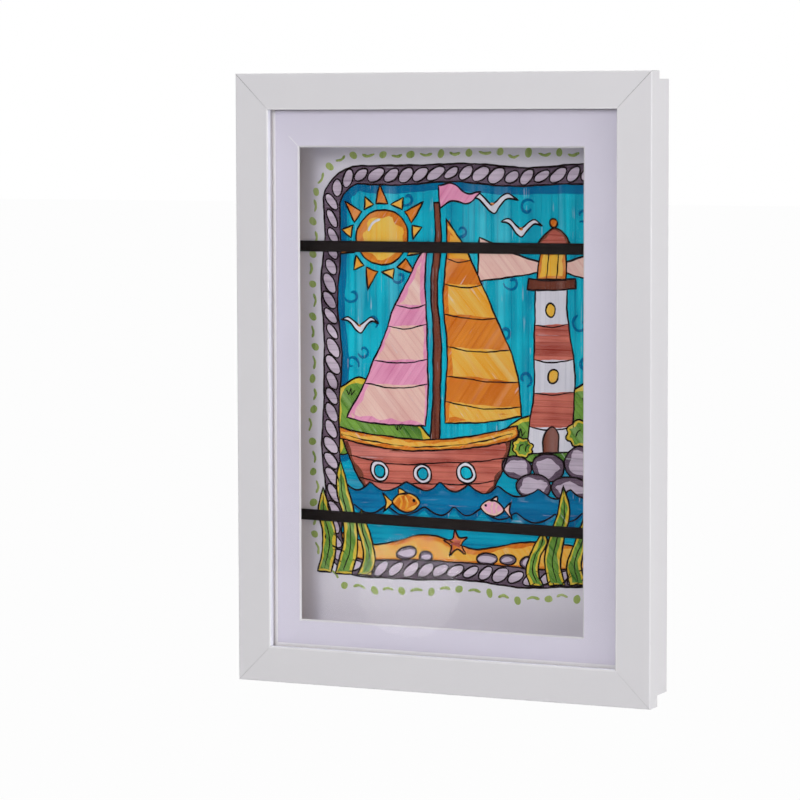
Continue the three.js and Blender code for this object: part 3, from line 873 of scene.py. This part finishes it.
@dataclass
class Drawing:
    """A child's felt-pen picture of a sailing boat and a lighthouse, lying on the A4 sheet."""

    sheet_front: float
    sheet_middle: float
    ink_width: float = 1.1
    layer_step: float = 0.000026
    patch_half: float = 0.000005
    line_flat: float = 0.02
    left: float = -73.0
    right: float = 92.0
    bottom: float = -93.0
    top: float = 113.0
    corner: float = 15.0
    horizon: float = -30.0
    seed: int = 11
    patches: list[Patch] = field(default_factory=list)
    strokes: list[Stroke] = field(default_factory=list)

    def __post_init__(self) -> None:
        """Starts the picture's own row of random draws."""
        self.chance = random.Random(self.seed)

    def fill(self, pen: str, loop: Loop, layer: float) -> None:
        """Colours an area with a pen."""
        self.patches.append(Patch(pen, (loop,), layer))

    def ring(self, pen: str, outer: Loop, inner: Loop, layer: float) -> None:
        """Colours the band between two outlines."""
        self.patches.append(Patch(pen, (outer, inner), layer))

    def line(self, pen: str, text: str, layer: float, width: float) -> None:
        """Draws a smooth line with a pen, through knots written as text."""
        points = curve_points(knots_of(text), 6, closed=False)
        self.strokes.append(Stroke(pen, tuple(points), width, layer))

    def outline(self, loop: Loop, layer: float, width: float = 0.0) -> None:
        """Draws the ink round an area, a little past its own start."""
        points = loop.points + loop.points[:2]
        self.strokes.append(Stroke("ink", points, width or self.ink_width, layer))

    def shape(self, pen: str, loop: Loop, layer: float, shade: str = "", deep: float = 2.2) -> None:
        """Colours an area, shades its edge with a darker pen and draws its outline."""
        self.fill(pen, loop, layer)
        if shade:
            self.ring(shade, loop, loop.inset(deep, 0.55), layer + 0.3)
        self.outline(loop, layer + 0.6)

    def frame_loop(self, grow: float) -> Loop:
        """Rounded rectangle of the picture's edge, grown by some millimetres."""
        radius = self.corner + grow
        corners = (
            (self.right + grow - radius, self.bottom - grow + radius, -90),
            (self.right + grow - radius, self.top + grow - radius, 0),
            (self.left - grow + radius, self.top + grow - radius, 90),
            (self.left - grow + radius, self.bottom - grow + radius, 180),
        )
        points = []
        for x, v, start in corners:
            for step in range(9):
                angle = math.radians(start + 90 * step / 8)
                points.append((x + radius * math.cos(angle), v + radius * math.sin(angle)))
        return Loop(tuple(points))

    def sky(self) -> None:
        """Blue sky, darker along its edge, with curls of wind and three gulls."""
        edge = self.frame_loop(0.0)
        self.fill("sky", edge, 0)
        self.ring("blue_edge", edge, edge.inset(5.0, 0.5), 0.3)
        curls = (
            (-64, 52, 5), (-58, 22, 4), (-66, 15, 4.5), (-36, 62, 4), (-32, 104, 4.5), (0, 86, 4), (12, 60, 4.5),
            (30, 60, 4.5), (26, 34, 4), (36, 10, 4.5), (38, 100, 5), (70, 38, 5), (71, 16, 4.5), (-52, 38, 3.5), (69, 96, 4),
        )
        for x, v, size in curls:
            turn, line = self.chance.uniform(0, 6.3), []
            for i in range(12):
                reach, angle = size * (1.0 - 0.065 * i), turn + 0.5 * i
                line.append((x + reach * math.cos(angle), v + reach * math.sin(angle)))
            self.strokes.append(Stroke("blue_edge", tuple(line), 1.9, 0.4))
        for x, v, size in ((18, 100, 1.0), (34, 88, 0.8), (-60, 34, 0.75)):
            self.gull(x, v, size)

    def gull(self, x: float, v: float, size: float) -> None:
        """A white gull with both wings spread."""
        knots = "-14,5! -8,7.5 -2,3 0,1.5 3,3.5 9,8 15,4! 9,5 4,-0.5 1,-3.5 -3,-1 -8,4"
        loop = Loop.through(knots, 5)
        self.shape("white", Loop(tuple((x + size * a, v + size * b) for a, b in loop.points)), 1)
        self.fill("orange", Loop.oval(x + 0.4 * size, v + 1.7 * size, 1.3 * size, 0.9 * size, count=10), 1.8)

    def hills(self) -> None:
        """Green hills on both shores, with rows of darker tufts."""
        for text, tufts in (
            ("-73,-38! -73,0! -62,7 -50,2 -38,-9 -26,-16 -14,-28 -6,-38!", ((-66, -2), (-56, -6), (-61, -14), (-46, -12), (-36, -20))),
            ("14,-38! 22,-24 34,-13 48,-8 66,4 80,12 92,14! 92,-38!", ((36, -20), (72, -2), (82, 4), (78, -12), (26, -28))),
        ):
            hill = Loop.through(text, 6)
            self.fill("green", hill, 0.7)
            self.ring("edge_yellow", hill, hill.inset(2.6, 0.5), 0.95)
            self.outline(hill, 1.05)
            for x, v in tufts:
                self.line("ink", f"{x - 2.5},{v + 1.5} {x - 0.8},{v - 1.2}! {x},{v + 2.6} {x + 0.8},{v - 1.2}! {x + 2.6},{v + 1.6}", 1.15, 0.7)

    def sun(self) -> None:
        """Big sun with alternating long and short rays."""
        x, v, radius, rays = -47.0, 84.0, 15.5, 13
        for i in range(rays):
            middle = 2 * math.pi * i / rays + 0.1
            reach = 28.0 + (1.5 if i % 2 else -3.5) + self.chance.uniform(-1, 1)
            foot = [(18.5, middle - 0.2), (reach, middle + self.chance.uniform(-0.06, 0.1)), (18.5, middle + 0.19)]
            ray = Loop(tuple((x + r * math.cos(a), v + r * math.sin(a)) for r, a in foot))
            self.shape("orange" if i % 2 else "yellow", ray, 1)
        self.shape("sun_yellow", Loop.oval(x, v, radius, radius * 0.96, count=36), 1, "orange", 3.4)
        self.line("white", f"{x - 9},{v + 3} {x - 6.5},{v + 7.5} {x - 1.5},{v + 9.5}", 1.8, 1.8)

    def lighthouse(self) -> None:
        """Banded lighthouse with its beam, on grey rocks among bushes."""
        self.shape("peach", Loop.through("47,71! 10,83! 11,60! 47,66!", 2), 1)
        self.shape("peach", Loop.through("60,71! 92,80! 92,56! 60,66!", 2), 1)
        tower = Loop.through("40,-30! 42,14 44,57! 62,57! 64.5,14 67,-30!", 6)
        self.shape("white", tower, 2)
        for low, high in ((-16, 2), (20, 38)):
            self.fill("brick", tower.between(low, high), 2.3)
            for level in (low, high):
                across = [x for x, _ in tower.between(level - 0.5, level + 0.5).points]
                self.line("ink", f"{min(across)},{level} 53,{level - 1.4} {max(across)},{level}", 2.6, 0.9)
        self.shape("brown", Loop.through("49,-30! 49,-20 53,-15.5 57,-20 57,-30!", 5), 2.8)
        for v in (11, 46):
            self.shape("sun_yellow", Loop.oval(53, v, 2.9, 4.0, count=14), 2.8)
        self.shape("sun_yellow", Loop.through("45,62! 46,77! 60,77! 61,62!", 3), 3, "orange", 2.0)
        self.line("ink", "50.5,62 50.5,77", 3.7, 0.8)
        self.line("ink", "55.8,62 55.8,77", 3.7, 0.8)
        self.shape("brown", Loop.through("39,57! 40,62.5! 66,62.5! 67,57!", 3), 3)
        self.shape("brick", Loop.through("42,77! 46,85 53,90 60,85 64,77!", 5), 3, "brown", 1.6)
        self.shape("orange", Loop.oval(53, 92.5, 2.4, 2.4, count=14), 3)
        self.bush(71, -20, 9.5)
        self.bush(37, -27, 6.5)
        for x, v, wide, high, layer in (
            (33, -38, 8.4, 6.5, 3.45), (51, -38, 9.2, 7.5, 3.45), (70, -36, 9.6, 9.0, 3.45),
            (42, -48, 10.2, 6.5, 4.1), (63, -49, 10.6, 6.5, 4.1),
        ):
            rock = Loop.oval(x, v, wide, high, self.chance.uniform(-0.15, 0.15), 20)
            self.fill("mauve", rock, layer)
            self.ring("grey", rock, rock.inset(2.4, 0.55), layer + 0.25)
            self.outline(rock, layer + 0.5)

    def bush(self, x: float, v: float, size: float) -> None:
        """A round bush of lobes, green with a yellow edge."""
        lobes, points = 8, []
        for i in range(lobes * 5):
            angle = 2 * math.pi * i / (lobes * 5)
            reach = size * (0.84 + 0.2 * abs(math.sin(lobes * angle / 2 + 0.4)))
            points.append((x + reach * math.cos(angle), v + 0.82 * reach * math.sin(angle)))
        loop = Loop(tuple(points))
        self.fill("edge_yellow", loop, 2.75)
        self.fill("green", loop.inset(1.7, 0.4), 3.0)
        self.outline(loop, 3.3)
        for a in (-0.35, 0.25):
            self.line("ink", f"{x + a * size},{v - 2} {x + a * size + 1},{v + 1} {x + a * size + 3},{v + 2}", 3.3, 0.8)

    def water(self, pen: str, level: float, phase: float, high: float, layer: float, shade: str) -> None:
        """Area of water whose upper edge is scalloped, down to the picture's bottom."""
        pitch, steps = 19.0, 110
        points = [(self.left, self.bottom), (self.left, level)]
        for i in range(steps + 1):
            x = self.left + (self.right - self.left) * i / steps
            swing = abs(math.sin(math.pi * (x / pitch + phase + 0.12 * math.sin(0.09 * x))))
            points.append((x, level + high * (1 - swing)))
        points += [(self.right, level), (self.right, self.bottom)]
        crest = points[1:-1]
        self.fill(pen, Loop(tuple(points)), layer)
        below = [(x, v - 3.2 - 1.1 * math.sin(0.33 * x)) for x, v in reversed(crest)]
        self.fill(shade, Loop(tuple(crest + below)), layer + 0.2)
        self.strokes.append(Stroke("ink", tuple(crest), self.ink_width, layer + 0.5))

    def hull(self) -> None:
        """Brick-red hull with planks, a dark rail and round portholes."""
        hull = Loop.through("-71,-24! -48,-28 -22,-30 6,-28 31,-20! 25,-40 14,-59! -20,-62 -53,-60! -64,-43")
        self.shape("brick", hull, 3.2, "brown", 2.6)
        rail = Loop.through("-74,-20! -48,-24 -22,-26 6,-24 34,-16! 32.5,-22.5 6,-30.5 -22,-32 -48,-30.5 -72,-26.5!")
        self.shape("yellow", rail, 3.9, "orange", 1.6)
        self.line("ink", "-67,-36 -44,-38.5 -22,-39.5 4,-38 27,-33", 3.9, 0.85)
        self.line("ink", "-62,-47 -44,-49.5 -22,-50.5 2,-49.5 21,-46", 3.9, 0.85)
        for x, v in ((-48, -43), (-23, -45), (3, -43.5)):
            self.shape("white", Loop.oval(x, v, 5.6, 5.4), 4.0)
            self.shape("sky", Loop.oval(x, v, 3.3, 3.3), 4.3)

    def rigging(self) -> None:
        """Mast, pennant and two sails with coloured bands."""
        self.shape("brown", Loop.through("-17,-26! -16.5,40 -16,101! -12.6,101! -12.4,40 -12,-26!", 6), 3)
        self.shape("pink", Loop.through("-12.6,110! -5,111 3,106.5 12,108! 4,101.5 -5,102 -12.6,98!"), 3)
        main = Loop.through("-9,93! 7,70 21,42 31,14 36,-11! 14,-15.5 -9,-17!", 10)
        jib = Loop.through("-20,81! -34,54 -48,26 -60,0 -67,-15! -43,-18 -20,-19!", 10)
        for sail, pen, shade, mast, bands in (
            (main, "yellow", "orange", -9.0, ((58, 71), (24, 41), (-6, 8))),
            (jib, "peach", "pink", -20.0, ((36, 47), (4, 17))),
        ):
            self.shape(pen, sail, 3, shade, 2.4)
            for low, high in bands:
                self.fill(shade, sail.between(low, high), 3.35)
                for level in (low, high):
                    cut = [x for x, _ in sail.between(level - 0.5, level + 0.5).points]
                    end = max(cut, key=lambda x: abs(x - mast))
                    self.line("ink", f"{mast},{level} {(mast + end) / 2},{level - 1.8} {end},{level}", 3.6, 0.85)

    def fish(self, x: float, v: float, size: float, facing: float, pen: str, trim: str) -> None:
        """A plain fish.

        Args:
            x: Middle of the body across the sheet.
            v: Middle of the body up the sheet.
            size: Half length of the body.
            facing: 1 when it swims to the right, -1 to the left.
            pen: Colour of the body.
            trim: Colour of its tail and stripes.
        """
        def part(text: str) -> Loop:
            """An outline in shares of the fish's half length."""
            return Loop(tuple((x + facing * a * size, v + b * size) for a, b in Loop.through(text, 5).points))

        self.shape(trim, part("-0.8,0! -1.5,0.62! -1.3,0 -1.5,-0.62!"), 6)
        self.shape(trim, part("-0.35,0.5! -0.3,0.85 0.3,0.52!"), 6)
        self.shape(pen, part("1,-0.02 0.5,0.5 -0.25,0.5 -0.85,0 -0.25,-0.48 0.5,-0.5"), 6.2, trim, 0.16 * size)
        for a in (-0.3, 0.08):
            top, low = f"{x + facing * a * size},{v + 0.38 * size}", f"{x + facing * a * size},{v - 0.38 * size}"
            self.line(trim, f"{top} {x + facing * (a + 0.12) * size},{v} {low}", 6.6, size * 0.15)
        eye = Loop.oval(x + facing * 0.62 * size, v + 0.14 * size, 0.1 * size, 0.1 * size, count=10)
        self.fill("ink", eye, 6.9)

    def seabed(self) -> None:
        """Sand with pebbles, a starfish and weed at both sides."""
        sand = Loop.through("-73,-93! -73,-79! -50,-83 -22,-78 8,-84 40,-78 92,-82! 92,-93!")
        self.shape("yellow", sand, 5.6, "orange", 2.4)
        pebbles = ((-32, -88, 6, 3.6), (-20, -90, 4.2, 2.8), (16, -89, 6.5, 3.4), (28, -88.5, 4.4, 2.8), (40, -89, 5.5, 3.2))
        for x, v, wide, high in pebbles:
            self.shape("mauve", Loop.oval(x, v, wide, high, 0.1, 16), 6, "grey", 1.3)
        star = []
        for i in range(10):
            radius, angle = (7.5 if i % 2 == 0 else 3.1), math.pi * (0.5 + i / 5) + 0.2
            star.append(f"{-3 + radius * math.cos(angle)},{-82 + radius * math.sin(angle)}")
        self.shape("orange", Loop.through(" ".join(star), 4), 6.2, "brick", 1.2)
        for x, sway, high, wide in (
            (-81, 3, 46, 4.4), (-69, 3, 62, 4.8), (-57, 3, 36, 4.2), (45, -3, 30, 4.0), (57, -3, 54, 4.8), (69, -3, 38, 4.4),
        ):
            self.weed(x, sway, high, wide)

    def weed(self, x: float, sway: float, high: float, wide: float) -> None:
        """A waving strap of weed that grows across the picture's lower edge."""
        foot, ways = -101.0, (0.0, 0.25, 0.5, 0.75)
        right = [f"{x + wide * (1 - 0.3 * t) + sway * math.sin(t * 5.2)},{foot + high * t}" for t in ways]
        left = [f"{x - wide * (1 - 0.3 * t) + sway * math.sin(t * 5.2)},{foot + high * t}" for t in ways]
        tip = f"{x + sway * math.sin(5.2)},{foot + high}!"
        strap = Loop.through(" ".join([right[0] + "!", *right[1:], tip, *reversed(left[1:]), left[0] + "!"]))
        self.shape("edge_yellow", strap, 8.0)
        self.fill("green", strap.inset(1.6, 0.45), 8.3)
        vein = (f"{x + sway * math.sin(t * 5.2)},{foot + 2 + high * 0.86 * t}" for t in (*ways, 1.0))
        self.line("ink", " ".join(vein), 8.5, 0.75)

    def rope_border(self) -> None:
        """Grey-mauve twisted rope round the picture."""
        self.ring("grey", self.frame_loop(9.0), self.frame_loop(-1.0), 7.0)
        for grow in (9.0, -1.0):
            self.outline(self.frame_loop(grow), 7.3)
        for (x, v), (dx, dv) in self.frame_loop(4.0).along(8.8):
            turn = math.atan2(dv, dx) + 0.62 + self.chance.uniform(-0.1, 0.1)
            grow = self.chance.uniform(0.88, 1.08)
            twist = Loop.oval(x, v, 5.4 * grow, 2.9 * grow, turn, 14)
            self.shape("mauve", twist, 7.3)

    def margin_marks(self) -> None:
        """Light green beads and dashes on the white margin."""
        for i, ((x, v), (dx, dv)) in enumerate(self.frame_loop(15.5).along(8.6)):
            shift = self.chance.uniform(-1.3, 1.3)
            x, v = x - dv * shift, v + dx * shift
            if i % 2 == 0:
                self.fill("light_green", Loop.oval(x, v, 2.4, 1.9, self.chance.uniform(0, 3), 16), 0.2)
            else:
                self.line("light_green", f"{x - 3.4 * dx},{v - 3.4 * dv} {x - dv},{v + dx} {x + 3.4 * dx},{v + 3.4 * dv}", 0.2, 1.7)

    def compose(self) -> None:
        """Lays out the whole picture, from the back to the front."""
        self.sky()
        self.hills()
        self.sun()
        self.lighthouse()
        self.water("sea", self.horizon - 6, 0.2, 4.5, 1.4, "blue_edge")
        self.rigging()
        self.hull()
        self.water("deep_sea", -54, 0.75, 5.0, 4.8, "blue_edge")
        self.water("sea", -67, 0.3, 5.0, 5.2, "blue_edge")
        self.seabed()
        self.fish(-34, -60.5, 9.0, 1.0, "orange", "yellow")
        self.fish(18, -61.5, 7.5, -1.0, "pink", "peach")
        self.rope_border()
        self.margin_marks()

    def depth_of(self, layer: float) -> float:
        """Place of a layer along Y."""
        return self.sheet_front - (layer + 1.0) * self.layer_step

    def patch_object(self, patch: Patch) -> bpy.types.Object:
        """A thin filled area standing on the sheet."""
        curve = bpy.data.curves.new(f"patch_{patch.pen}", "CURVE")
        curve.dimensions = "2D"
        curve.fill_mode = "BOTH"
        curve.extrude = self.patch_half
        hand = Hand(0.28, self.chance, 2.0)
        for loop in patch.loops:
            drawn = hand.draw(loop.points + loop.points[:1])[:-1]
            spline = curve.splines.new("POLY")
            spline.points.add(len(drawn) - 1)
            spline.use_cyclic_u = True
            for point, (x, v) in zip(spline.points, drawn):
                point.co = (x * MM, v * MM, 0.0, 1.0)
        item = bpy.data.objects.new(curve.name, curve)
        bpy.context.scene.collection.objects.link(item)
        item.rotation_euler = (math.pi / 2, 0.0, 0.0)
        item.location = (0.0, self.depth_of(patch.layer), self.sheet_middle)
        return item

    def stroke_object(self, pen: str, layer: float, strokes: Iterable[Stroke]) -> bpy.types.Object:
        """Round-ended flat lines of one pen on one layer."""
        curve = bpy.data.curves.new(f"line_{pen}", "CURVE")
        curve.dimensions = "3D"
        curve.bevel_depth = 0.5 * MM
        curve.bevel_resolution = 1
        curve.use_fill_caps = True
        hand = Hand(0.2, self.chance)
        for stroke in strokes:
            drawn = hand.draw(stroke.points)
            spline = curve.splines.new("POLY")
            count = len(drawn)
            spline.points.add(count - 1)
            phase = self.chance.uniform(0, 6)
            for i, (point, (x, v)) in enumerate(zip(spline.points, drawn)):
                point.co = (x * MM, 0.0, v * MM, 1.0)
                swell = 1.0 + 0.15 * math.sin(0.31 * i + phase) + 0.08 * math.sin(1.3 * i + 2 * phase)
                ends = min(1.0, 0.5 + 0.25 * min(i, count - 1 - i))
                point.radius = stroke.width * swell * ends
        item = bpy.data.objects.new(curve.name, curve)
        bpy.context.scene.collection.objects.link(item)
        item.scale = (1.0, self.line_flat, 1.0)
        item.location = (0.0, self.depth_of(layer), self.sheet_middle)
        return item

    def build(self) -> list[bpy.types.Object]:
        """Makes the picture's meshes, one for each pen.

        Returns:
            The finished pieces.
        """
        self.compose()
        groups: dict[str, list[bpy.types.Object]] = {}
        for patch in self.patches:
            groups.setdefault(patch.pen, []).append(self.patch_object(patch))
        keys = sorted({(s.pen, s.layer) for s in self.strokes})
        for pen, layer in keys:
            chosen = [s for s in self.strokes if (s.pen, s.layer) == (pen, layer)]
            groups.setdefault(pen, []).append(self.stroke_object(pen, layer, chosen))
        finishes = {pen.name: pen for pen in PENS}
        pieces = []
        for pen in sorted(groups):
            piece = self.one_piece(groups[pen], f"drawing_{pen}")
            finish = InkFinish() if pen == "ink" else finishes[pen]
            dress(piece, finish.material())
            mount(piece, "box")
            pieces.append(piece)
        return pieces

    @staticmethod
    def one_piece(items: list[bpy.types.Object], name: str) -> bpy.types.Object:
        """Turns curves into one mesh at the origin."""
        choose(*items)
        bpy.ops.object.convert(target="MESH")
        bpy.ops.object.transform_apply(location=True, rotation=True, scale=True)
        if len(items) > 1:
            bpy.ops.object.join()
        piece = bpy.context.view_layer.objects.active
        piece.name = name
        bpy.ops.object.mode_set(mode="EDIT")
        bpy.ops.mesh.select_all(action="SELECT")
        bpy.ops.mesh.remove_doubles(threshold=0.0000005)
        bpy.ops.mesh.normals_make_consistent(inside=False)
        bpy.ops.object.mode_set(mode="OBJECT")
        return piece


@dataclass
class ElasticBand:
    """A woven elastic strap whose ends turn forward along the side walls."""

    node: str
    drop: float
    ribs: int = 7
    rib_depth: float = 0.00007
    bend_steps: int = 8
    bend: float = 0.0016

    def profile(self, thick: float, wide: float) -> bpy.types.Object:
        """Cross-section of the strap: a flat band with rounded edges and long ribs.

        Args:
            thick: Thickness of the strap.
            wide: Width of the strap.

        Returns:
            A closed flat curve, used as the bevel of the strap's path.
        """
        curve = bpy.data.curves.new("strap_profile", "CURVE")
        curve.dimensions = "2D"
        half, edge = wide / 2, thick / 2
        steps = self.ribs * 8
        side = []
        for i in range(steps + 1):
            share = i / steps
            along = (share - 0.5) * wide
            rounding = edge - min(edge, half - abs(along))
            valley = self.rib_depth * (0.5 + 0.5 * math.cos(2 * math.pi * self.ribs * share))
            side.append((along, math.sqrt(max(0.0, edge ** 2 - rounding ** 2)) * (1.0 - valley / edge)))
        points = [(across, along) for along, across in side]
        points += [(-across, along) for along, across in reversed(side[1:-1])]
        spline = curve.splines.new("POLY")
        spline.points.add(len(points) - 1)
        spline.use_cyclic_u = True
        for point, (x, y) in zip(spline.points, points):
            point.co = (x, y, 0.0, 1.0)
        item = bpy.data.objects.new("strap_profile", curve)
        bpy.context.scene.collection.objects.link(item)
        return item

    def path(self, low: Vector, high: Vector, thick: float, wide: float) -> list[Vector]:
        """Middle line of the strap, from the left tab's end to the right tab's end."""
        back, wall = high.y - thick / 2, high.x - thick / 2
        radius = self.bend - thick / 2
        middle = (low.z + high.z) / 2
        right = [Vector((wall, low.y, 0)), Vector((wall, back - radius - 0.0005, 0))]
        for i in range(self.bend_steps + 1):
            angle = math.pi / 2 * i / self.bend_steps
            right.append(Vector((wall - radius + radius * math.cos(angle), back - radius + radius * math.sin(angle), 0)))
        left = [Vector((-p.x, p.y, 0)) for p in right]
        line = left + list(reversed(right))
        for point in line:
            point.z = middle - self.drop * point.x / (2 * wall)
        return line

    def build(self) -> bpy.types.Object:
        """Makes the strap and puts it in its CAD node's place.

        Returns:
            The strap.
        """
        low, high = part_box(self.node)
        thick, wide = 0.001, 0.006
        section = self.profile(thick, wide)
        curve = bpy.data.curves.new(self.node, "CURVE")
        curve.dimensions = "3D"
        curve.twist_mode = "Z_UP"
        curve.bevel_mode = "OBJECT"
        curve.bevel_object = section
        curve.use_fill_caps = True
        points = self.path(low, high, thick, wide)
        spline = curve.splines.new("POLY")
        spline.points.add(len(points) - 1)
        for point, place in zip(spline.points, points):
            point.co = (*place, 1.0)
        strap = bpy.data.objects.new(f"strap_{self.node}", curve)
        bpy.context.scene.collection.objects.link(strap)
        choose(strap)
        bpy.ops.object.convert(target="MESH")
        bpy.data.objects.remove(section)
        bpy.ops.object.shade_smooth_by_angle(angle=math.radians(50))
        dress(strap, ElasticFinish().material())
        mount(strap, "box")
        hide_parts(self.node)
        return strap


def sight() -> Point:
    """Half width and half height of the door's opening, from its stiles and rails."""
    return -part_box("door_stile_left")[1].x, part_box("door_rail_top")[0].z


@dataclass
class Woodwork:
    """Door mouldings and box walls, in white foil."""

    door: tuple[str, ...] = ("door_rail_top", "door_rail_bottom", "door_stile_left", "door_stile_right")
    box: tuple[str, ...] = ("box_wall_top", "box_wall_bottom", "box_wall_left", "box_wall_right")

    def dress(self, nodes: dict[str, bpy.types.Object]) -> None:
        """Gives the mouldings their foil."""
        width, height = sight()
        low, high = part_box("door_rail_top")
        sizes = {"half_width": high.x, "half_height": high.z, "sight_width": width, "sight_height": height}
        door, box = DoorFoilFinish(front=low.y, **sizes).material(), FoilFinish().material()
        for name in self.door:
            dress(nodes[name], door)
        for name in self.box:
            dress(nodes[name], box)
        dress(nodes["back_panel"], PanelFinish().material())
        LOG.info("woodwork dressed")


@dataclass
class Glazing:
    """Pane, mat and drawing paper."""

    def dress(self, nodes: dict[str, bpy.types.Object]) -> None:
        """Gives the pane, the mat and the sheet their finishes."""
        dress(nodes["clear_pane"], PaneFinish().material())
        width, height = sight()
        dress(nodes["window_mat"], MatFinish(sight_width=width, sight_height=height).material())
        dress(nodes["art_sheet"], PaperFinish().material())
        LOG.info("glazing dressed")


@dataclass
class Hardware:
    """Hinges, catch, hangers and fasteners."""

    bright: tuple[str, ...] = ("hinge", "strike", "hanger", "magnet")

    def dress(self, nodes: dict[str, bpy.types.Object]) -> None:
        """Gives each steel piece its finish: bright hardware and duller fasteners."""
        zinc = SteelFinish("bright_zinc").material()
        dull = SteelFinish("fastener_steel", srgb(166, 168, 172), srgb(128, 130, 136), 0.38).material()
        nickel = SteelFinish("nickel_plate", srgb(206, 204, 198), srgb(178, 176, 170), 0.2).material()
        steel = ("glazing_point", "corner_nail", "panel_brad", "band_staple") + self.bright
        for name, node in nodes.items():
            if name.startswith("magnet"):
                dress(node, nickel)
            elif name.startswith(steel):
                dress(node, zinc if name.startswith(self.bright) else dull)
        LOG.info("hardware dressed")


@dataclass
class Studio:
    """Floor, lamps, background and the camera at the photograph's place."""

    camera_place: tuple[float, float, float] = (0.754817, -1.707122, 0.143545)
    yaw: float = math.radians(24.937)
    pitch: float = math.radians(-4.714)
    roll: float = math.radians(0.138)
    focal_pixels: float = 3478.658
    frame_pixels: float = 800.0
    sensor: float = 36.0
    floor_level: float = -0.75
    floor_size: float = 60.0
    ambient: float = 0.231
    glow_share: float = 0.975
    floor_colour: Colour = srgb(250, 250, 250)

    def camera(self) -> None:
        """Places the camera."""
        data = bpy.data.cameras.new("photo_camera")
        data.sensor_width = self.sensor
        data.lens = self.focal_pixels / self.frame_pixels * self.sensor
        data.clip_end = 100.0
        item = bpy.data.objects.new("photo_camera", data)
        turn = Matrix.Rotation(self.yaw, 4, "Z") @ Matrix.Rotation(self.pitch, 4, "X")
        turn = turn @ Matrix.Rotation(self.roll, 4, "Y") @ Matrix.Rotation(math.pi / 2, 4, "X")
        item.matrix_world = Matrix.Translation(self.camera_place) @ turn
        bpy.context.scene.collection.objects.link(item)
        bpy.context.scene.camera = item

    @staticmethod
    def lamp(
        name: str, around: float, above: float, distance: float, size: float, power: float, shape: str = "SQUARE"
    ) -> None:
        """A soft lamp that faces the middle of the frame.

        Args:
            name: Name of the lamp.
            around: Degrees from straight in front, to the right.
            above: Degrees above the middle.
            distance: How far it stands from the middle.
            size: How wide it is.
            power: Its power in watts.
            shape: Shape of its face.
        """
        turn, rise = math.radians(around), math.radians(above)
        level = distance * math.cos(rise)
        place = Vector((level * math.sin(turn), -level * math.cos(turn), distance * math.sin(rise)))
        data = bpy.data.lights.new(name, "AREA")
        data.shape = shape
        data.size = size
        data.energy = power
        item = bpy.data.objects.new(name, data)
        item.location = place
        item.rotation_euler = (-place).to_track_quat("-Z", "Y").to_euler()
        bpy.context.scene.collection.objects.link(item)

    def lamps(self) -> None:
        """A key lamp above the front, two lamps at the right side, one overhead and one seen in the pane."""
        self.lamp("key_lamp", 0, 20, 2.5, 0.9, 18.6)
        self.lamp("side_lamp", 80, 2, 2.4, 1.0, 22.3)
        self.lamp("high_side_lamp", 62, 35, 2.4, 0.9, 6.2)
        self.lamp("top_lamp", 10, 80, 2.0, 0.9, 11.2)
        self.lamp("glint_lamp", -24.9, -10.4, 2.25, 0.12, 0.55, "DISK")

    @staticmethod
    def seen(shader: "Shader") -> "Signal":
        """1 for rays of the camera and for reflected and transmitted rays, else 0."""
        rays = ("Is Camera Ray", "Is Glossy Ray", "Is Transmission Ray")
        camera, glossy, through = (shader.node("ShaderNodeLightPath", {}, {}, ray) for ray in rays)
        return (camera + glossy + through).clamped()

    def world(self) -> None:
        """White to the camera and in reflections, and softer as the room's own light."""
        world = bpy.data.worlds.new("studio_white")
        bpy.context.scene.world = world
        world.use_nodes = True
        world.node_tree.nodes.clear()
        shader = Shader.on_tree(world.node_tree)
        white = shader.node("ShaderNodeBackground", {}, {"Color": (1.0, 1.0, 1.0)})
        room = shader.node("ShaderNodeBackground", {}, {"Color": (1.0, 1.0, 1.0), "Strength": self.ambient})
        values = {"Fac": self.seen(shader), "Shader": room, "Shader_001": white}
        mixed = shader.node("ShaderNodeMixShader", {}, values)
        shader.node("ShaderNodeOutputWorld", {}, {"Surface": mixed})

    def floor(self) -> None:
        """A pale floor well below the hanging frame, white to the camera but for shadows."""
        deselect()
        bpy.ops.mesh.primitive_plane_add(size=self.floor_size, location=(0.0, 0.0, self.floor_level))
        floor = bpy.context.view_layer.objects.active
        floor.name = "studio_floor"
        shader = Shader("studio_floor")
        shader.finish(Base_Color=self.floor_colour, Roughness=0.9)
        lit = Signal(shader, shader.principled.outputs[0])
        glow = shader.node("ShaderNodeEmission", {}, {"Color": (1.0, 1.0, 1.0), "Strength": 1.0})
        values = {"Fac": self.seen(shader) * self.glow_share, "Shader": lit, "Shader_001": glow}
        mixed = shader.node("ShaderNodeMixShader", {}, values)
        shader.tree.links.new(mixed.socket, shader.output.inputs["Surface"])
        dress(floor, shader.material)

    def build(self) -> None:
        """Sets up the whole studio."""
        self.camera()
        self.world()
        self.lamps()
        self.floor()
        bpy.context.scene.view_settings.view_transform = "Standard"


def corners(bounds: Sequence[Sequence[float]]) -> list[list[float]]:
    """A box's two corners as plain lists."""
    return [[float(value) for value in corner] for corner in bounds]


def main() -> None:
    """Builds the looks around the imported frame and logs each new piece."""
    logging.basicConfig(level=logging.INFO, format="%(message)s")
    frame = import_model()
    nodes = frame["nodes"]
    Studio().build()
    Woodwork().dress(nodes)
    Glazing().dress(nodes)
    Hardware().dress(nodes)
    low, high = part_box("art_sheet")
    Drawing(sheet_front=low.y, sheet_middle=(low.z + high.z) / 2).build()
    for name, drop in (("elastic_band_upper", -0.0007), ("elastic_band_lower", 0.0036)):
        ElasticBand(name, drop).build()
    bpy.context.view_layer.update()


if __name__ == "__main__":
    main()
